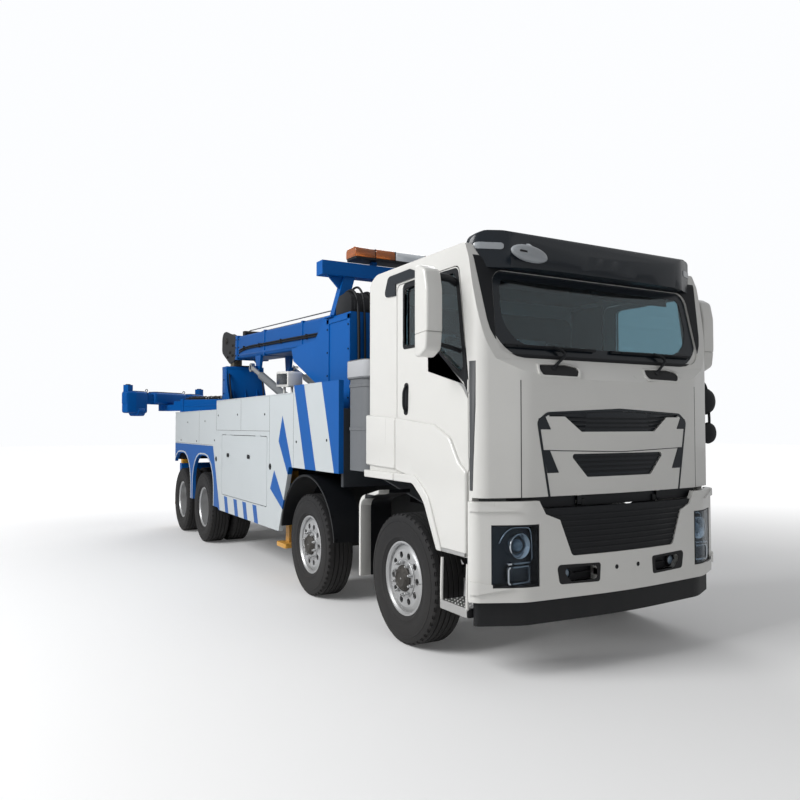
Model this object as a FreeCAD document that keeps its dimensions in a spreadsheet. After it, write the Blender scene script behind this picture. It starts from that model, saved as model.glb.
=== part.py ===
import FreeCAD, Part
import math
import os
from Sketcher import Constraint
from types import SimpleNamespace

# Heavy recovery truck: a twin-steer chassis with a tandem rear, a tilting full-width cab, a recovery
# body with a mast and a telescopic boom, and an underlift at the tail, swung to the right.
# Millimetres. +X points forward, +Y to the left side, +Z up. The origin is on the ground under the
# middle of the overall box. Stations in this file are measured from the first axle and the truck's
# centre plane, and each sub-part's Placement carries them to the origin.

doc = FreeCAD.newDocument("tow_truck")
sheet = doc.addObject("Spreadsheet::Sheet", "sizes")

SIZES = {
    # wheels
    "tyre_radius": 525, "tyre_width": 295, "tyre_shoulder": 40, "bead_inset": 19, "bead_over": 2, "rim_radius": 298, "rim_width": 235,
    "rim_seat_radius": 286, "rim_wall": 14, "disc_thick": 14, "stub_radius": 46, "hub_radius": 105,
    "hub_reach": 48, "hub_inward": 70, "hand_hole_radius": 27, "hand_hole_circle": 190,
    "hand_hole_count": 10, "front_disc_out": 95, "twin_disc_in": 160.5, "running_gap": 0.3, "seat_gap": 0.3,
    "bearing_gap": 0.06, "front_track_half": 1066, "twin_track_half": 1097, "twin_spacing": 335,
    "axle_2_back": 1950, "axle_3_back": 6050, "tandem_spacing": 1350,
    # axles, springs and steering
    "kingpin_half": 850, "kingpin_radius": 26, "boss_radius": 45, "boss_half_height": 62,
    "knuckle_ear": 34, "knuckle_gap": 2, "knuckle_width": 100, "knuckle_plate_in": 905,
    "knuckle_plate_out": 935, "beam_width": 110, "beam_height": 90, "axle_tube_radius": 80,
    "spring_half": 386, "spring_width": 75, "spring_depth": 60, "front_spring_length": 1500,
    "rear_spring_half": 495, "rear_spring_overhang": 120,
    # frame and engine
    "rail_half": 430, "rail_bottom": 720, "rail_height": 280, "rail_flange": 85, "rail_wall": 10,
    "rail_front": 1010, "rail_rear_back": 7860, "subframe_top": 1180, "subframe_width": 80,
    "member_width": 90, "cross_member_count": 6, "engine_front": 800, "engine_rear_back": 450,
    "engine_bottom": 580, "engine_top": 1240,
    # cab
    "cab_rear_back": 600, "cab_half": 1205, "cab_front": 1240, "cab_bow": 60, "cab_shoulder_in": 325,
    "cab_shoulder_radius": 450, "cab_corner_front": 1065, "cab_corner_radius": 120,
    "cab_rear_radius": 60, "bow_radius": 5000, "cab_front_bottom": 1262, "cab_floor_bottom": 1290,
    "cab_floor_thick": 60, "cab_arch_top": 1310, "cab_arch_front": 400, "cab_arch_radius": 200,
    "skirt_rear": 590, "skirt_front": 970, "skirt_bottom": 835, "skirt_lean": 27, "belt_share": 0.45251, "belt_back": 20, "cowl_share": 0.52793, "cowl_back": 130,
    "brow_share": 0.93296, "brow_back": 270, "roof_height": 3080, "roof_back": 320,
    "roof_rear_radius": 220, "brow_radius": 60, "cab_wall": 60, "roof_wall": 55, "cab_tilt_height": 1215,
    "cab_tilt_front": 1185, "tilt_lug_radius": 30, "tilt_pin_radius": 15, "tilt_lug_in": 390, "tilt_lug_wall": 40,
    "tilt_arm_in": 350, "tilt_arm_wall": 35, "cab_rest_back": 540, "cab_rest_size": 60,
    # doors and glass
    "door_front": 960, "door_rear_back": 70, "door_top_share": 0.9162, "door_gap": 8, "sill_gap": 5,
    "hinge_height": 90, "hinge_depth": 40, "hinge_radius": 8, "hinge_low_share": 0.08939, "hinge_high_share": 0.39665, "door_front_top": 850,
    "window_low_share": 0.4581, "window_high_share": 0.6257, "window_sill_rear": 450,
    "window_top_share": 0.88827, "window_front": 910, "window_front_top": 800, "window_rear": 60,
    "window_radius": 45, "glass_thick": 10, "glass_inset": 20, "glass_gap": 0.3,
    "screen_inset": 145, "screen_bottom_share": 0.55028, "screen_top_share": 0.89385, "screen_radius": 110,
    # cab outside
    "visor_bottom_share": 0.89944, "visor_top_share": 1.05028, "visor_rear": 500, "visor_front": 1150, "visor_inset": 45,
    "visor_gap": 0.3, "visor_corner_back": 130, "visor_radius": 60, "grille_inset_band": 535, "grille_inset_top": 675, "grille_inset_foot": 825,
    "grille_inset_low_top": 715, "grille_inset_low_foot": 875, "grille_band": 18,
    "grille_foot_share": 0.24022, "grille_top_share": 0.30168, "grille_crown_share": 0.32682,
    "grille_low_foot_share": 0.05587, "grille_low_top_share": 0.15084, "grille_depth": 45,
    "mirror_reach": 175, "mirror_width": 140, "mirror_rear": 730, "mirror_front": 970,
    "mirror_bottom_share": 0.53631, "mirror_top_share": 0.92737, "mirror_radius": 60, "mirror_arm": 45,
    "mirror_arm_drop": 120, "mirror_arm_root": 830,
    # seats and dashboard
    "seat_inset": 645, "seat_width": 520, "seat_front": 520, "seat_rear": -40, "seat_share": 0.30168,
    "seat_back_share": 0.70391, "seat_thick": 130, "seat_radius": 50, "dash_inset": 105,
    "dash_rear": 800, "dash_bottom_share": 0.25698, "dash_top_share": 0.50279, "dash_radius": 70, "wheel_ring": 225,
    "wheel_tube": 16, "wheel_share": 0.52514, "wheel_station": 650, "wheel_lean": 30, "column_radius": 30,
    "column_length": 420,
    # front end
    "bumper_overhang": 40, "bumper_front": 1300, "bumper_bow": 75, "bumper_shoulder_in": 325,
    "bumper_shoulder_radius": 350, "bumper_corner_front": 1060, "bumper_corner_radius": 90,
    "bumper_rear": 1003, "bumper_top": 1240, "bumper_bottom": 550, "bumper_wall": 40,
    "inlet_inset_top": 445, "inlet_inset_bottom": 725, "inlet_bottom": 840, "inlet_top": 1180, "inlet_inset_mid": 620, "inlet_mid": 1100,
    "inlet_inset_ledge": 500, "inlet_ledge": 1145, "fog_length": 320, "fog_inset": 625,
    "fog_bottom": 660, "fog_top": 760, "fog_radius": 30, "valance_bottom": 380, "valance_set_back": 45, "valance_corner_radius": 40,
    "lamp_width": 330, "lamp_inset": 115, "lamp_bottom": 650, "lamp_top": 1080, "lamp_front_gap": 4,
    "lamp_depth": 110, "lamp_rear": 1000, "lamp_gap": 0.3, "bumper_bar_height": 90,
    "flare_height": 15, "flare_inset": 295, "flare_top_low": 1175, "flare_low_inset": 250, "flare_low_bottom": 600,
    "flare_low_top": 700,
    # steps and guards
    "step_rear": 640, "step_front": 990, "step_width": 290, "step_reach": 35, "step_bottom": 430,
    "step_thick": 55, "step_back": 35, "step_top": 815, "bracket_size": 60, "strip_back": 700,
    "strip_wall": 30, "strip_bottom": 430, "strip_corner": 1130, "strip_top": 1215, "strip_reach": 330,
    "strip_radius": 120, "guard_radius": 728, "guard_wall": 22, "guard_inset": 10, "guard_width": 310,
    "guard_bottom": 640,
    # intake stack
    "stack_rear_back": 1095, "stack_front_back": 635, "stack_width": 405, 
    "stack_bottom": 1350, "stack_neck": 2200, "stack_top": 2370, "stack_radius": 110, "stack_cap": 18,
    # recovery body
    "body_front_back": 1120, "body_rear_back": 7880, "body_half": 1245, "panel_wall": 50,
    "panel_top_front": 2200, "panel_top_mid": 2120, "panel_top_rear": 1990, "panel_step_front": 2280,
    "panel_step_rear": 5300, "panel_bottom_front": 1310, "panel_bottom": 570, "slant_front": 2420,
    "slant_rear": 2730, "panel_tail_bottom": 600, "arch_half": 600, "arch_top": 1310, "arch_radius": 480,
    "deck_top": 1930, "deck_wall": 50, "locker_rear": 5150, "locker_front": 3000, "locker_back_half": 560,
    "locker_floor": 600, "lid_front": 3130, "lid_rear": 5020, "lid_bottom": 800, "lid_top": 1640,
    "lid_gap": 8, "lid_radius": 30, "lid_hinge_in": 320,
    # mast
    "mast_front": 1500, "mast_rear": 2100, "mast_inset": 305, "mast_top": 2930, "mast_post_overhang": 20,
    "mast_post_lean": 140, "mast_post_width": 130, "mast_post_depth": 110, "mast_bar_overhang": 130,
    "mast_bar_bottom": 3380, "mast_bar_top": 3530, "mast_bar_back": 2000, "mast_bar_depth": 160,
    "cheek_wall": 50, "cheek_rear": 3140, "cheek_top": 2730, "cheek_bottom": 2200, "cheek_slope": 320, "cheek_drop": 190, "lug_foot": 420, "lug_wall": 45,
    "lug_in": 300, "lug_radius": 110, "beacon_inset": 240, "beacon_bottom": 3580, "beacon_top": 3715,
    "beacon_depth": 240, "beacon_foot": 60, "beacon_radius": 45,
    # boom
    "boom_pivot_back": 2850, "boom_pivot_height": 2620, "boom_pin_radius": 40, "boom_tilt": 2,
    "boom_half": 280, "boom_low": 160, "boom_height": 400, "boom_wall": 25, "boom_foot": 250,
    "boom_length": 4720, "boom_slide_gap": 5, "pad_length": 120, "pad_half": 80, "inner_start": 1900, "inner_reach": 330,
    "boom_lug_wall": 50, "boom_lug_reach": 500, "boom_lug_in": 235, "head_gap": 80, "head_reach": 510, "head_wall": 20,
    "head_low": 90, "head_high": 640, "sheave_radius": 150, "sheave_width": 40, "sheave_half": 110,
    "sheave_inset": 120, "sheave_height": 520, "rope_radius": 9, "hook_top": 330, "hook_block_height": 420,
    "hook_block_width": 150, "hook_block_depth": 210, "hook_bend": 95,
    "hook_throat": 52, "hook_shank": 55, "hook_thick": 46,
    # lift cylinders
    "lift_half": 375, "barrel_radius": 62, "lift_rod_radius": 38, "lift_base_back": 4450,
    "lift_base_height": 2060, "lift_head_back": 6350, "lift_head_height": 2710, "barrel_length": 1500,
    "lift_eye_radius": 70, "lift_eye_width": 60, "lift_pin_radius": 30, "lift_seat_wall": 25, "moving_gap": 8, "barrel_base": 60,
    # winches
    "drum_back": 2420, "drum_height": 2160, "drum_radius": 90, "drum_flange_radius": 170,
    "drum_flange": 18, "drum_half_in": 60, "drum_half_out": 285, "drum_pin_radius": 30,
    # underlift
    "tail_front": 7890, "tail_rear": 8150, "tail_in": 250, "tail_out": 340, "tail_bottom": 560,
    "tail_top": 2380, "carriage_gap": 0.5, "carriage_bottom": 1930, "carriage_top": 2350,
    "carriage_rear": 8330, "swing_pin_back": 8450, "swing_pin_radius": 40, "arm_height": 2150,
    "arm_half": 120, "arm_wall": 20, "arm_pad_half": 50, "arm_eye_radius": 105, "arm_lug": 45, "arm_lug_gap": 4,
    "arm_start": 110, "arm_end": 1250, "stinger_start": 320, "stinger_end": 1440, "arm_swing_angle": 35,
    "crossbar_station": 1740, "crossbar_half": 1100, "crossbar_depth": 230, "crossbar_bottom": 30,
    "crossbar_height": 190, "crossbar_end_depth": 150, "crossbar_round": 60, "crossbar_shoulder": 260, "crossbar_pin_radius": 35, 
    "receiver_half": 45, "receiver_bore": 32, "receiver_reach": 160, "receiver_inset": 110,
    # outriggers
    "leg_half": 55, "leg_gap": 0.5, "leg_case_wall": 15, "leg_front_back": 2850, "leg_rear_back": 8060,
    "leg_inset": 210, "leg_top": 1240, "leg_case_bottom": 640, "leg_case_top": 1100, "foot_bottom": 370,
    "foot_thick": 50, "foot_half": 140,
    # tail lamps
    "tail_lamp_width": 250, "tail_lamp_inset": 95, "tail_lamp_bottom": 1250, "tail_lamp_top": 1400,
    "tail_lamp_thick": 50,
}
for row, (alias, value) in enumerate(SIZES.items(), start=1):
    sheet.set(f"A{row}", alias)
    sheet.set(f"B{row}", str(value))
    sheet.setAlias(f"B{row}", alias)
doc.recompute()


class Size:
    """A length of the sheet: its number now, and the expression that keeps an object bound to it."""

    def __init__(self, number, text):
        self.number = number
        self.text = text

    def __add__(self, other):
        other = size(other)
        return Size(self.number + other.number, f"({self.text} + {other.text})")

    def __sub__(self, other):
        other = size(other)
        return Size(self.number - other.number, f"({self.text} - {other.text})")

    def __mul__(self, other):
        other = size(other)
        return Size(self.number * other.number, f"({self.text} * {other.text})")

    def __truediv__(self, other):
        other = size(other)
        return Size(self.number / other.number, f"({self.text} / {other.text})")

    def __radd__(self, other):
        return size(other) + self

    def __rsub__(self, other):
        return size(other) - self

    def __rmul__(self, other):
        return size(other) * self

    def __neg__(self):
        return Size(-self.number, f"(0 - {self.text})")

    def sin(self):
        return Size(math.sin(math.radians(self.number)), f"sin({self.text} * 1 deg)")

    def cos(self):
        return Size(math.cos(math.radians(self.number)), f"cos({self.text} * 1 deg)")


def size(value):
    return value if isinstance(value, Size) else Size(float(value), f"{float(value):.6f}")


S = SimpleNamespace(**{alias: Size(float(sheet.get(alias)), f"<<sizes>>.{alias}") for alias in SIZES})

# Half widths and stations that follow a larger piece by a named distance
S.cab_shoulder_half = S.cab_half - S.cab_shoulder_in
S.screen_half = S.cab_half - S.screen_inset
S.visor_half = S.cab_half - S.visor_inset
S.grille_half_band = S.cab_half - S.grille_inset_band
S.grille_half_top = S.cab_half - S.grille_inset_top
S.grille_half_foot = S.cab_half - S.grille_inset_foot
S.grille_half_low_top = S.cab_half - S.grille_inset_low_top
S.grille_half_low_foot = S.cab_half - S.grille_inset_low_foot
S.mirror_in = S.cab_half + S.mirror_reach
S.mirror_out = S.mirror_in + S.mirror_width
S.seat_half = S.cab_half - S.seat_inset
S.dash_half = S.cab_half - S.dash_inset
S.bumper_half = S.cab_half + S.bumper_overhang
S.bumper_shoulder_half = S.bumper_half - S.bumper_shoulder_in
S.inlet_half_top = S.bumper_half - S.inlet_inset_top
S.inlet_half_ledge = S.bumper_half - S.inlet_inset_ledge
S.inlet_half_mid = S.bumper_half - S.inlet_inset_mid
S.inlet_half_bottom = S.bumper_half - S.inlet_inset_bottom
S.fog_out = S.bumper_half - S.fog_inset
S.fog_in = S.fog_out - S.fog_length
S.lamp_out = S.bumper_half - S.lamp_inset
S.lamp_in = S.lamp_out - S.lamp_width
S.step_out = S.cab_half + S.step_reach
S.step_in = S.step_out - S.step_width
S.stack_out = S.cab_half
S.stack_in = S.cab_half - S.stack_width
S.mast_half = S.body_half - S.mast_inset
S.mast_post_half_low = S.mast_half + S.mast_post_overhang
S.mast_post_half_high = S.mast_half - S.mast_post_lean
S.mast_bar_half = S.mast_half + S.mast_bar_overhang
S.beacon_half = S.mast_half - S.beacon_inset
S.inner_end = S.boom_length + S.inner_reach
S.head_start = S.boom_length + S.head_gap
S.head_end = S.inner_end + S.head_reach
S.sheave_station = S.head_end - S.sheave_inset
S.receiver_half_track = S.crossbar_half - S.receiver_inset
S.leg_track_half = S.body_half - S.leg_inset
S.guard_out = S.body_half - S.guard_inset
S.guard_in = S.guard_out - S.guard_width
S.tail_lamp_out = S.body_half - S.tail_lamp_inset
S.tail_lamp_in = S.tail_lamp_out - S.tail_lamp_width

# The cab's heights, each a share of the way from its floor to its roof
cab_height = S.roof_height - S.cab_floor_bottom
S.belt_height = S.cab_floor_bottom + cab_height * S.belt_share
S.cowl_height = S.cab_floor_bottom + cab_height * S.cowl_share
S.brow_height = S.cab_floor_bottom + cab_height * S.brow_share
S.screen_bottom = S.cab_floor_bottom + cab_height * S.screen_bottom_share
S.screen_top = S.cab_floor_bottom + cab_height * S.screen_top_share
S.door_top = S.cab_floor_bottom + cab_height * S.door_top_share
S.hinge_low = S.cab_floor_bottom + cab_height * S.hinge_low_share
S.hinge_high = S.cab_floor_bottom + cab_height * S.hinge_high_share
S.window_low = S.cab_floor_bottom + cab_height * S.window_low_share
S.window_high = S.cab_floor_bottom + cab_height * S.window_high_share
S.window_top = S.cab_floor_bottom + cab_height * S.window_top_share
S.visor_bottom = S.cab_floor_bottom + cab_height * S.visor_bottom_share
S.visor_top = S.cab_floor_bottom + cab_height * S.visor_top_share
S.grille_foot = S.cab_floor_bottom + cab_height * S.grille_foot_share
S.grille_top = S.cab_floor_bottom + cab_height * S.grille_top_share
S.grille_crown = S.cab_floor_bottom + cab_height * S.grille_crown_share
S.grille_low_foot = S.cab_floor_bottom + cab_height * S.grille_low_foot_share
S.grille_low_top = S.cab_floor_bottom + cab_height * S.grille_low_top_share
S.mirror_bottom = S.cab_floor_bottom + cab_height * S.mirror_bottom_share
S.mirror_top = S.cab_floor_bottom + cab_height * S.mirror_top_share
S.seat_top = S.cab_floor_bottom + cab_height * S.seat_share
S.seat_back_top = S.cab_floor_bottom + cab_height * S.seat_back_share
S.dash_bottom = S.cab_floor_bottom + cab_height * S.dash_bottom_share
S.dash_top = S.cab_floor_bottom + cab_height * S.dash_top_share
S.wheel_height = S.cab_floor_bottom + cab_height * S.wheel_share


def bind(thing, name, value):
    """Ties one property of an object to the sheet."""
    value = size(value)
    thing.setExpression(name, value.text)


PLANES = {"x": "YZ_Plane", "y": "XZ_Plane", "z": "XY_Plane"}


def origin_part(body, role):
    return next(part for part in body.Origin.OriginFeatures if part.Role == role)


def sketch_on(body, axis, offset=0):
    """An empty sketch in the body, square to the axis and that far along the plane's normal."""
    sketch = body.newObject("Sketcher::SketchObject", "outline")
    sketch.AttachmentSupport = (origin_part(body, PLANES[axis]), [""])
    sketch.MapMode = "FlatFace"
    bind(sketch, "AttachmentOffset.Base.z", offset)
    return sketch


def corner_ends(last, here, following):
    """Where the lines into and out of a corner end, with the corner's arc when it is rounded."""
    corner = FreeCAD.Vector(here[0].number, here[1].number, 0)
    if len(here) < 3:
        return corner, corner, None
    radius = here[2].number
    to_last = (FreeCAD.Vector(last[0].number, last[1].number, 0) - corner).normalize()
    to_next = (FreeCAD.Vector(following[0].number, following[1].number, 0) - corner).normalize()
    half = to_last.getAngle(to_next) / 2
    reach = radius / math.tan(half)
    centre = corner + (to_last + to_next).normalize() * (radius / math.sin(half))
    enter = corner + to_last * reach
    leave = corner + to_next * reach
    turns_left = to_last.cross(to_next).z < 0
    first, second = (enter, leave) if turns_left else (leave, enter)
    angle = [math.atan2(p.y - centre.y, p.x - centre.x) for p in (first, second)]
    if angle[1] < angle[0]:
        angle[1] += 2 * math.pi
    circle = Part.Circle(centre, FreeCAD.Vector(0, 0, 1), radius)
    return enter, leave, (Part.ArcOfCircle(circle, angle[0], angle[1]), turns_left)


def draw(sketch, points):
    """A closed outline through (u, v) corners. A third value rounds a corner with that radius."""
    corners = [[size(value) for value in point] for point in points]
    count = len(corners)
    ends = [corner_ends(corners[i - 1], corners[i], corners[(i + 1) % count]) for i in range(count)]
    lines = [Part.LineSegment(ends[i][1], ends[(i + 1) % count][0]) for i in range(count)]
    sketch.addGeometry(lines, False)
    rules = []
    formulas = []

    def rule(*terms, value=None):
        if value is None:
            rules.append(Constraint(*terms))
            return
        formulas.append((len(rules), value.text))
        rules.append(Constraint(*terms, value.number))

    for i, corner in enumerate(corners):
        before = (i - 1) % count
        arc_part = ends[i][2]
        if arc_part is None:
            rule("Coincident", before, 2, i, 1)
            anchor = i
        else:
            arc = sketch.addGeometry(arc_part[0], False)
            anchor = sketch.addGeometry(Part.Point(FreeCAD.Vector(corner[0].number, corner[1].number, 0)), True)
            enter_end, leave_end = (1, 2) if arc_part[1] else (2, 1)
            rule("Tangent", before, 2, arc, enter_end)
            rule("Tangent", i, 1, arc, leave_end)
            rule("Radius", arc, value=corner[2])
            rule("PointOnObject", anchor, 1, before)
            rule("PointOnObject", anchor, 1, i)
        rule("DistanceX", -1, 1, anchor, 1, value=corner[0])
        rule("DistanceY", -1, 1, anchor, 1, value=corner[1])
    sketch.addConstraint(rules)
    for index, text in formulas:
        sketch.setExpression(f"Constraints[{index}]", text)


def prism(axis, low, high, points):
    """An outline padded from low to high along an axis. Across Y the outline reads (x, z)."""
    low, high = size(low), size(high)
    if low.number > high.number:
        low, high = high, low
    body = doc.addObject("PartDesign::Body", "prism")
    sketch = sketch_on(body, axis, -high if axis == "y" else low)
    draw(sketch, points)
    pad = body.newObject("PartDesign::Pad", "pad")
    pad.Profile = sketch
    bind(pad, "Length", high - low)
    return body


def turned(points):
    """A profile of (radius, distance along Y) corners revolved about the Y axis."""
    body = doc.addObject("PartDesign::Body", "turned")
    sketch = sketch_on(body, "z")
    draw(sketch, points)
    revolution = body.newObject("PartDesign::Revolution", "revolution")
    revolution.Profile = sketch
    revolution.ReferenceAxis = (sketch, ["V_Axis"])
    revolution.Angle = 360
    return body


def box(x0, x1, y0, y1, z0, z1):
    block = doc.addObject("Part::Box", "block")
    for low, high, length, axis in ((x0, x1, "Length", "x"), (y0, y1, "Width", "y"), (z0, z1, "Height", "z")):
        low, high = size(low), size(high)
        if low.number > high.number:
            low, high = high, low
        bind(block, length, high - low)
        bind(block, f"Placement.Base.{axis}", low)
    return block


def cylinder(axis, centre, low, high, radius):
    """A round bar along an axis from low to high. centre holds the other two coordinates in order."""
    low, high = size(low), size(high)
    if low.number > high.number:
        low, high = high, low
    bar = doc.addObject("Part::Cylinder", "bar")
    bind(bar, "Radius", radius)
    bind(bar, "Height", high - low)
    turn = {"x": (0, 90, 0), "y": (0, 0, -90), "z": (0, 0, 0)}[axis]
    spot = {"x": (low, *centre), "y": (centre[0], low, centre[1]), "z": (*centre, low)}[axis]
    return placed(bar, spot, turn)


def placed(thing, spot, turn=(0, 0, 0)):
    """Ties an object's Placement to a spot and to its yaw, pitch and roll in degrees."""
    where = "; ".join(size(value).text for value in spot)
    angles = "; ".join(size(value).text for value in turn)
    thing.setExpression(
        "Placement",
        f"create(<<placement>>; create(<<vector>>; {where}); create(<<rotation>>; {angles}))",
    )
    return thing


def joined(*parts):
    whole = doc.addObject("Part::MultiFuse", "joined")
    whole.Shapes = list(parts)
    whole.Refine = True
    return whole


def common(*parts):
    shared = doc.addObject("Part::MultiCommon", "common")
    shared.Shapes = list(parts)
    shared.Refine = True
    return shared


def cut(base, *tools):
    tool = tools[0]
    if len(tools) > 1:
        tool = joined(*tools)
    rest = doc.addObject("Part::Cut", "cut")
    rest.Base = base
    rest.Tool = tool
    rest.Refine = True
    return rest


def group(*parts):
    together = doc.addObject("Part::Compound", "group")
    together.Links = list(parts)
    return together


def mirrored(part):
    other = doc.addObject("Part::Mirroring", "mirrored")
    other.Source = part
    other.Normal = FreeCAD.Vector(0, 1, 0)
    return other


def both(part):
    return [part, mirrored(part)]


# The overall box decides where the first axle and the centre plane lie
tip_along = S.crossbar_station + S.crossbar_end_depth / 2 - S.crossbar_round
tip_across = S.crossbar_half - S.crossbar_round
arm_tip_back = S.swing_pin_back + S.arm_swing_angle.cos() * tip_along + S.arm_swing_angle.sin() * tip_across + S.crossbar_round
arm_tip_right = S.arm_swing_angle.sin() * tip_along + S.arm_swing_angle.cos() * tip_across + S.crossbar_round
AXLE_1 = (arm_tip_back - S.bumper_front) / 2
CENTRE = (arm_tip_right - S.mirror_out) / 2

nodes = []


def node(label, *parts, spot=(0, 0, 0), turn=(0, 0, 0)):
    """A named sub-part, with its own placement from the truck's stations to the origin."""
    whole = group(*parts)
    whole.Label = label
    placed(whole, (AXLE_1 + spot[0], CENTRE + spot[1], size(spot[2])), turn)
    nodes.append(whole)
    return whole


SIDES = (("left", 1), ("right", -1))
STEERED = (("1", size(0)), ("2", S.axle_2_back))
DRIVEN = (("3", S.axle_3_back), ("4", S.axle_3_back + S.tandem_spacing))


# Wheels
def tyre():
    half = S.tyre_width / 2
    seat = S.rim_seat_radius + S.running_gap
    bead = S.rim_width / 2 - S.bead_inset
    flange = S.rim_radius + S.bead_over
    wall_top = S.tyre_radius - S.tyre_shoulder * 1.6
    tread_half = half - S.tyre_shoulder / 2
    one_side = [
        (seat, bead), (flange, bead + 6), (flange, S.rim_width / 2 + 2), (flange + S.tyre_shoulder * 1.5, half),
        (wall_top, half), (S.tyre_radius - S.tyre_shoulder / 4, tread_half), (S.tyre_radius, half - S.tyre_shoulder),
    ]
    return turned(one_side + [(radius, -along) for radius, along in reversed(one_side)])


def rim_profile(way, disc, hub_out, hub_in):
    """Barrel, disc and hub of a wheel. way is +1 where the disc bulges towards +Y."""
    half = S.rim_width / 2
    barrel = S.rim_seat_radius - S.rim_wall
    root = half - 45
    thick = S.disc_thick / 2
    flat = S.hand_hole_circle + 42
    bore = S.stub_radius + S.bearing_gap
    rising = [
        (S.rim_radius, -half), (S.rim_radius, 12 - half), (S.rim_seat_radius, 18 - half),
        (S.rim_seat_radius, half - 18), (S.rim_radius, half - 12), (S.rim_radius, half),
        (S.rim_radius - 14, half), (barrel, half - 16), (barrel, root + 8), (flat, disc + thick),
    ]
    if hub_out is None:
        centre = [(bore, disc + thick), (bore, disc - thick)]
    else:
        centre = [
            (S.hub_radius, disc + thick), (S.hub_radius - 25, disc + hub_out), (0, disc + hub_out),
            (0, disc + hub_out - 12), (bore, disc + hub_out - 12), (bore, disc - hub_in),
            (S.hub_radius, disc - hub_in), (S.hub_radius, disc - thick),
        ]
    falling = [
        (flat, disc - thick), (barrel, root - 10), (barrel, 16 - half), (S.rim_radius - 14, -half),
    ]
    return [(radius, size(along) * way) for radius, along in rising + centre + falling]


def rim(way, disc, hub_out=None, hub_in=0):
    """A wheel rim with a ring of hand holes through its disc."""
    body = turned(rim_profile(way, disc, hub_out, hub_in))
    sketch = sketch_on(body, "y")
    sketch.addGeometry(Part.Circle(FreeCAD.Vector(190, 0, 0), FreeCAD.Vector(0, 0, 1), 27), False)
    sketch.addConstraint([
        Constraint("DistanceX", -1, 1, 0, 3, S.hand_hole_circle.number),
        Constraint("DistanceY", -1, 1, 0, 3, 0),
        Constraint("Radius", 0, S.hand_hole_radius.number),
    ])
    bind(sketch, "Constraints[0]", S.hand_hole_circle)
    bind(sketch, "Constraints[2]", S.hand_hole_radius)
    doc.recompute()
    hole = body.newObject("PartDesign::Pocket", "hand_hole")
    hole.Profile = sketch
    hole.Type = "ThroughAll"
    hole.SideType = "Symmetric"
    ring = body.newObject("PartDesign::PolarPattern", "hand_holes")
    ring.Originals = [hole]
    ring.Axis = (origin_part(body, "Y_Axis"), [""])
    ring.Angle = 360
    bind(ring, "Occurrences", S.hand_hole_count)
    body.Tip = ring
    return body


for number, back in STEERED:
    for side, s in SIDES:
        hub_spot = (-back, s * S.front_track_half, S.tyre_radius)
        node(f"tyre_{number}_{side}", tyre(), spot=hub_spot)
        node(f"rim_{number}_{side}", rim(s, S.front_disc_out, S.hub_reach, S.hub_inward), spot=hub_spot)
for number, back in DRIVEN:
    for side, s in SIDES:
        hub_spot = (-back, s * S.twin_track_half, S.tyre_radius)
        inner_spot = (0, -s * S.twin_spacing, 0)
        node(f"tyres_{number}_{side}", tyre(), placed(tyre(), inner_spot), spot=hub_spot)
        outer_rim = rim(-s, S.twin_disc_in)
        inner_rim = placed(rim(s, S.twin_disc_in), inner_spot)
        hub_plane = S.twin_spacing / 2
        hub = placed(turned([
            (0, s * (S.hub_inward / 2 - 0)), (S.hub_radius - 25, s * (S.hub_inward / 2)),
            (S.hub_radius, s * -10), (S.hub_radius, -s * 100 - s * S.hub_inward),
            (S.stub_radius + S.bearing_gap, -s * 100 - s * S.hub_inward),
            (S.stub_radius + S.bearing_gap, s * (S.hub_inward / 2 - 12)), (0, s * (S.hub_inward / 2 - 12)),
        ]), (0, s * (0 - S.twin_spacing / 2 + 75), 0))
        node(f"rims_{number}_{side}", joined(outer_rim, inner_rim, hub), spot=hub_spot)


# Running gear
def front_beam(back):
    """A drop beam with a kingpin boss at each end, the kingpins standing in it."""
    low = S.tyre_radius - S.beam_height / 2
    high = S.tyre_radius + S.beam_height / 2
    beam = box(-back - S.beam_width / 2, -back + S.beam_width / 2, -S.kingpin_half, S.kingpin_half, low, high)
    ends = []
    for s in (1, -1):
        spot = (-back, s * S.kingpin_half)
        ends.append(cylinder("z", spot, S.tyre_radius - S.boss_half_height, S.tyre_radius + S.boss_half_height, S.boss_radius))
        pin_half = S.boss_half_height + S.knuckle_gap + S.knuckle_ear
        ends.append(cylinder("z", spot, S.tyre_radius - pin_half, S.tyre_radius + pin_half, S.kingpin_radius))
    return joined(beam, *ends)


def front_springs(back):
    low = S.tyre_radius + S.beam_height / 2
    half = S.front_spring_length / 2
    leaves = prism("y", S.spring_half - S.spring_width / 2, S.spring_half + S.spring_width / 2, [
        (-back - half, S.rail_bottom - 40), (-back - 90, low), (-back + 90, low),
        (-back + half, S.rail_bottom - 40), (-back + half, S.rail_bottom), (-back + half - 60, S.rail_bottom),
        (-back + 90, low + S.spring_depth), (-back - 90, low + S.spring_depth),
        (-back - half + 60, S.rail_bottom), (-back - half, S.rail_bottom),
    ])
    return both(leaves)


def rear_axle(back):
    half = S.twin_track_half - 160
    tube = cylinder("y", (-back, S.tyre_radius), -half + 130, half - 130, S.axle_tube_radius)
    stubs = cylinder("y", (-back, S.tyre_radius), -S.twin_track_half + 78, S.twin_track_half - 78, S.stub_radius)
    bowl = cylinder("y", (-back, S.tyre_radius), -170, 170, S.axle_tube_radius * 2)
    return joined(tube, stubs, bowl)


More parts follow.
